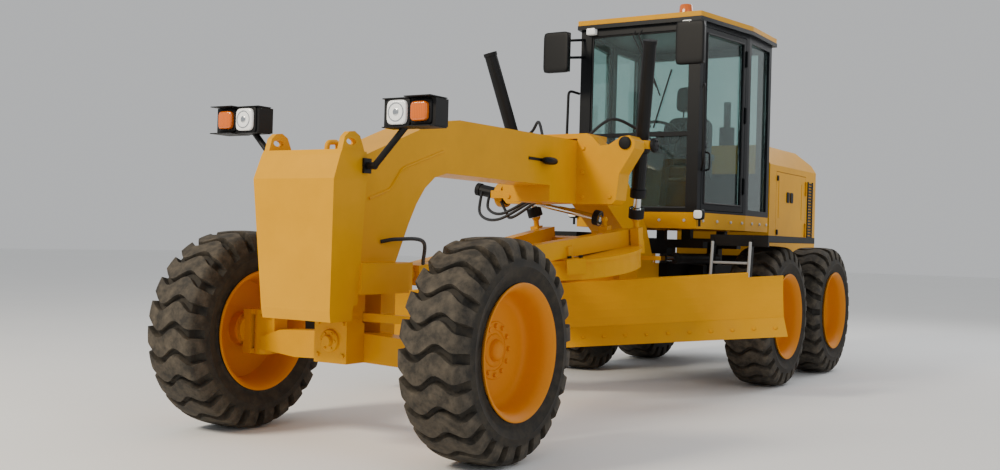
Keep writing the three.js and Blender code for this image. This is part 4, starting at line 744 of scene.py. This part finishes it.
def neck_side(hand, side):
    """The weld along the neck's fold, the lift swivel's caps and the saddle's bolts."""
    fold = [at(x, 0.171, z) for x, z in ((5.91, 1.56), (5.7, 1.627), (5.575, 1.77), (5.12, 1.916))]
    put(f"neck_fold_{hand}", flipped([bent(fold, 0.009, 8, 0.03)], side), YELLOW, "front_chassis")
    caps = [disc(at(3.2, 0.607, 2.135), (1, 0, 0), 0.052, 0.022),
            disc(at(SWIVEL_X, 0.708, SWIVEL_Z), (0, 1, 0), 0.06, 0.03)]
    spots = [at(SWIVEL_X + 0.04 * math.cos(t), 0.736, SWIVEL_Z + 0.04 * math.sin(t))
             for t in SIXTHS]
    put(f"swivel_caps_{hand}", flipped(caps + bolts(spots, (0, 1, 0), 0.009, 0.008), side), IRON,
        "front_chassis")
    wing = [at(3.2, y, z) for y, z in ((0.23, 1.7), (0.23, 1.9), (0.23, 2.1), (0.48, 1.7))]
    put(f"saddle_bolts_{hand}", flipped(bolts(wing, (1, 0, 0), 0.018, 0.014), side), YELLOW,
        "front_chassis")


both(neck_side)
hub = [disc(at(6.04, 0, AXLE_PIVOT_Z), (1, 0, 0), 0.07, 0.02),
       disc(at(6.055, 0, AXLE_PIVOT_Z), (1, 0, 0), 0.035, 0.03)]
ring = [at(6.06, 0.052 * math.cos(t), AXLE_PIVOT_Z + 0.052 * math.sin(t)) for t in SIXTHS]
corners = [at(6.04, y, z) for y in (-0.1, 0.1) for z in (0.58, 0.78)]
heads = bolts(ring, (1, 0, 0), 0.009, 0.008) + bolts(corners, (1, 0, 0), 0.015, 0.012)
put("axle_pivot_cap", hub + heads, YELLOW, "front_chassis")
loop = [at(x, 0, z) for x, z in ((6.02, 1.8), (6.02, 1.905), (6.12, 1.895), (6.12, 1.8))]
put("centre_lifting_eye", [bent(loop, 0.017, 10, 0.03)], YELLOW, "front_chassis")
# The first runs below the neck's front, the next two to the lift swivels and the last three to
# the centre shift's cylinder.
hoses = [[(5.78, 0.17, 1.292), (5.7, 0.24, 1.31), (5.45, 0.26, 1.3), (5.25, 0.12, 1.15)],
         [(3.12, 0.2, 2.19), (2.95, 0.35, 2.36), (2.8, 0.5, 2.3), (2.79, 0.6, 2.24)],
         [(3.12, -0.2, 2.19), (2.95, -0.35, 2.36), (2.8, -0.5, 2.3), (2.79, -0.6, 2.24)],
         [(3.2, -0.3, 1.66), (3.28, -0.5, 1.55), (3.1, -0.75, 1.6), (2.93, -0.85, 1.74)],
         [(3.2, -0.25, 1.66), (3.33, -0.5, 1.5), (3.15, -0.8, 1.55), (2.95, -0.92, 1.76)],
         [(3.2, -0.2, 1.66), (3.3, -0.38, 1.52), (3.05, -0.6, 1.58), (2.92, -0.8, 1.79)]]
put("hydraulic_hoses", [lofted(curve([at(*p) for p in line]), 0.013, 10) for line in hoses],
    HOSE, "front_chassis")


# ---- cylinders ---------------------------------------------------------------------------------
def collars(name, start, end, places, body, material):
    """Collars round the line from one pin to the other, each by its distance along the line, its
    length, and its outer and inner radius."""
    start, end = np.array(at(*start)), np.array(at(*end))
    n = (end - start) / np.linalg.norm(end - start)
    rings = [sleeve(start + n * d, start + n * (d + long), outer, inner)
             for d, long, outer, inner in places]
    put(name, rings, material, body)


# The drawbar's frame stands at its ball and slopes down to the rear. The circle's middle is
# given in it, and the circle stands turned about it by the blade's angle.
DRAWBAR = Matrix.Translation(at(5.34, 0, 1.07)) @ Matrix.Rotation(math.radians(9), 4, "Y")
AT_CIRCLE = DRAWBAR @ Matrix.Translation((-2.312, 0, -0.172))
CIRCLE = AT_CIRCLE @ Matrix.Rotation(math.radians(30.5), 4, "Z")


def pin_point(x, y, z):
    """A point given from the circle's middle along the drawbar, from the middle of the tandem."""
    p = DRAWBAR @ Vector((x - 2.312, y, z - 0.172))
    return [p.x - TANDEM_X, p.y, p.z]


for hand, side in SIDES.items():
    swivel = (SWIVEL_X, side * 0.606, SWIVEL_Z)
    eye = pin_point(-0.357, side * 0.49, 0.225)
    reach = math.dist(swivel, eye)
    collars(f"lift_gland_{hand}", swivel, eye,
            [(0.375, 0.07, 0.066, 0.035), (-0.872, 0.03, 0.06, 0.01)],
            f"lift_{hand}_barrel_body", IRON)
    collars(f"lift_rod_eye_{hand}", swivel, eye, [(reach - 0.092, 0.084, 0.066, 0.061)],
            f"lift_{hand}_rod_body", IRON)
    collars(f"articulation_gland_{hand}", (0.6, side * 0.4, 1.2), (1.97, side * 0.35, 1.2),
            [(0.94, 0.065, 0.054, 0.031)], f"articulation_{hand}_barrel_body", IRON)
swivel, eye = (2.906, -0.72, 1.726), pin_point(-0.213, 0.266, 0.231)
reach = math.dist(swivel, eye)
collars("shift_gland", swivel, eye, [(-0.27, 0.04, 0.058, 0.01)],
        "centre_shift_barrel_body", IRON)
collars("shift_rod_eye", swivel, eye, [(reach - 0.092, 0.05, 0.066, 0.061)],
        "centre_shift_rod_body", IRON)


# ---- circle and blade --------------------------------------------------------------------------
half = np.arange(0.09, 1.8, 0.183)
along = np.r_[-half[::-1], half] + 0.02
places = np.column_stack([np.full(len(along), -0.1), along, np.full(len(along), -0.79)])
heads = bolts(places, (0.711, 0, 0.703), 0.017, 0.012)
put("edge_bolts", turned_to(heads, CIRCLE), YELLOW, "blade")
SHOE_CIRCLE = 0.64
spots = [(SHOE_CIRCLE * math.cos(math.radians(a + d)), SHOE_CIRCLE * math.sin(math.radians(a + d)),
          0.02) for a in (35, 145, 215, 325) for d in (-4, 4)]
put("shoe_bolts", turned_to(bolts(spots, (0, 0, 1), 0.02, 0.018), AT_CIRCLE), IRON,
    "drawbar_body")


def ladder_glint_strips(hand, side):
    """Pale strips on the fronts of the ladder's rails and treads: a painted glint along their
    edges.
    """
    rails = [lofted([at(1.565, y, 1.37), at(1.645, y, 0.75)], 0.014, 8) for y in (0.732, 1.091)]
    treads = [lofted([at(x, 0.75, z), at(x, 1.075, z)], 0.012, 8)
              for z, x in ((1.177, 1.585), (0.977, 1.61), (0.777, 1.635))]
    put(f"ladder_glint_strips_{hand}", flipped(rails + treads, side), PALE_ENAMEL_AND_GLINT, "rear_chassis")


both(ladder_glint_strips)


# ---- floor, light, camera ----------------------------------------------------------------------
def studio():
    """A wide pale floor, an even pale surround and three soft lamps."""
    x, y = np.meshgrid(np.linspace(-60, 60, 25), np.linspace(-60, 60, 25), indexing="ij")
    mesh = bpy.data.meshes.new("studio_floor")
    points, faces = net(np.stack([x, y, np.full_like(x, -0.0005)], -1))
    mesh.from_pydata(points.tolist(), [], faces)
    floor = bpy.data.objects.new("studio_floor", mesh)
    bpy.context.scene.collection.objects.link(floor)
    m, tree, bsdf, place = shader("pale studio floor", Roughness=0.75, Specular_IOR_Level=0.2)
    tone = add(tree, "ShaderNodeTexNoise", Vector=place, Scale=0.6, Detail=2.0)
    mixed = add(tree, "ShaderNodeMix", {"data_type": "RGBA"}, i0=tone.outputs[0],
                i6=linear("#f1f1f0"), i7=linear("#f5f5f4"))
    tree.links.new(mixed.outputs[2], bsdf.inputs["Base Color"])
    mesh.materials.append(m)
    world = bpy.data.worlds.new("pale surround")
    world.use_nodes = True
    surround = world.node_tree.nodes["Background"].inputs
    surround["Color"].default_value = linear("#f4f6f8")
    surround["Strength"].default_value = 0.62
    bpy.context.scene.world = world
    # name, place, width, power, colour
    lamps = (("high sun-side lamp", (13, -4, 9), 3.0, 1500, "#fff3de"),
             ("camera-side lamp", (6, 12, 6), 7.0, 160, "#f6f9ff"),
             ("rear lamp", (-9, 3, 8), 6.0, 400, "#ffffff"))
    for name, place, size, power, colour in lamps:
        data = bpy.data.lights.new(name, "AREA")
        data.size, data.energy, data.color = size, power, linear(colour)[:3]
        lamp = bpy.data.objects.new(name, data)
        bpy.context.scene.collection.objects.link(lamp)
        lamp.location = place
        aim = Vector((0, 0, 1)) - Vector(place)
        lamp.rotation_euler = aim.to_track_quat("-Z", "Y").to_euler()


def camera():
    """Stands ahead of the left front wheel, at 1.3 m above the ground, and looks back along the
    machine's left side."""
    data = bpy.data.cameras.new("camera")
    data.lens, data.sensor_width = 40.67, 36
    data.shift_x, data.shift_y = 0.00404, 0.00065
    made = bpy.data.objects.new("camera", data)
    bpy.context.scene.collection.objects.link(made)
    yaw, pitch, roll = math.radians(212.296), math.radians(0.287), math.radians(1.553)
    ahead = Vector((math.cos(pitch) * math.cos(yaw), math.cos(pitch) * math.sin(yaw),
                    math.sin(pitch)))
    right = Vector((math.sin(yaw), -math.cos(yaw), 0))
    up = right.cross(ahead)
    across = math.cos(roll) * right + math.sin(roll) * up
    above = -math.sin(roll) * right + math.cos(roll) * up
    turn = Matrix((across, above, -ahead)).transposed()
    made.matrix_world = Matrix.Translation(Vector(at(11.4317, 4.6035, 1.3138))) @ turn.to_4x4()
    bpy.context.scene.camera = made


studio()
camera()
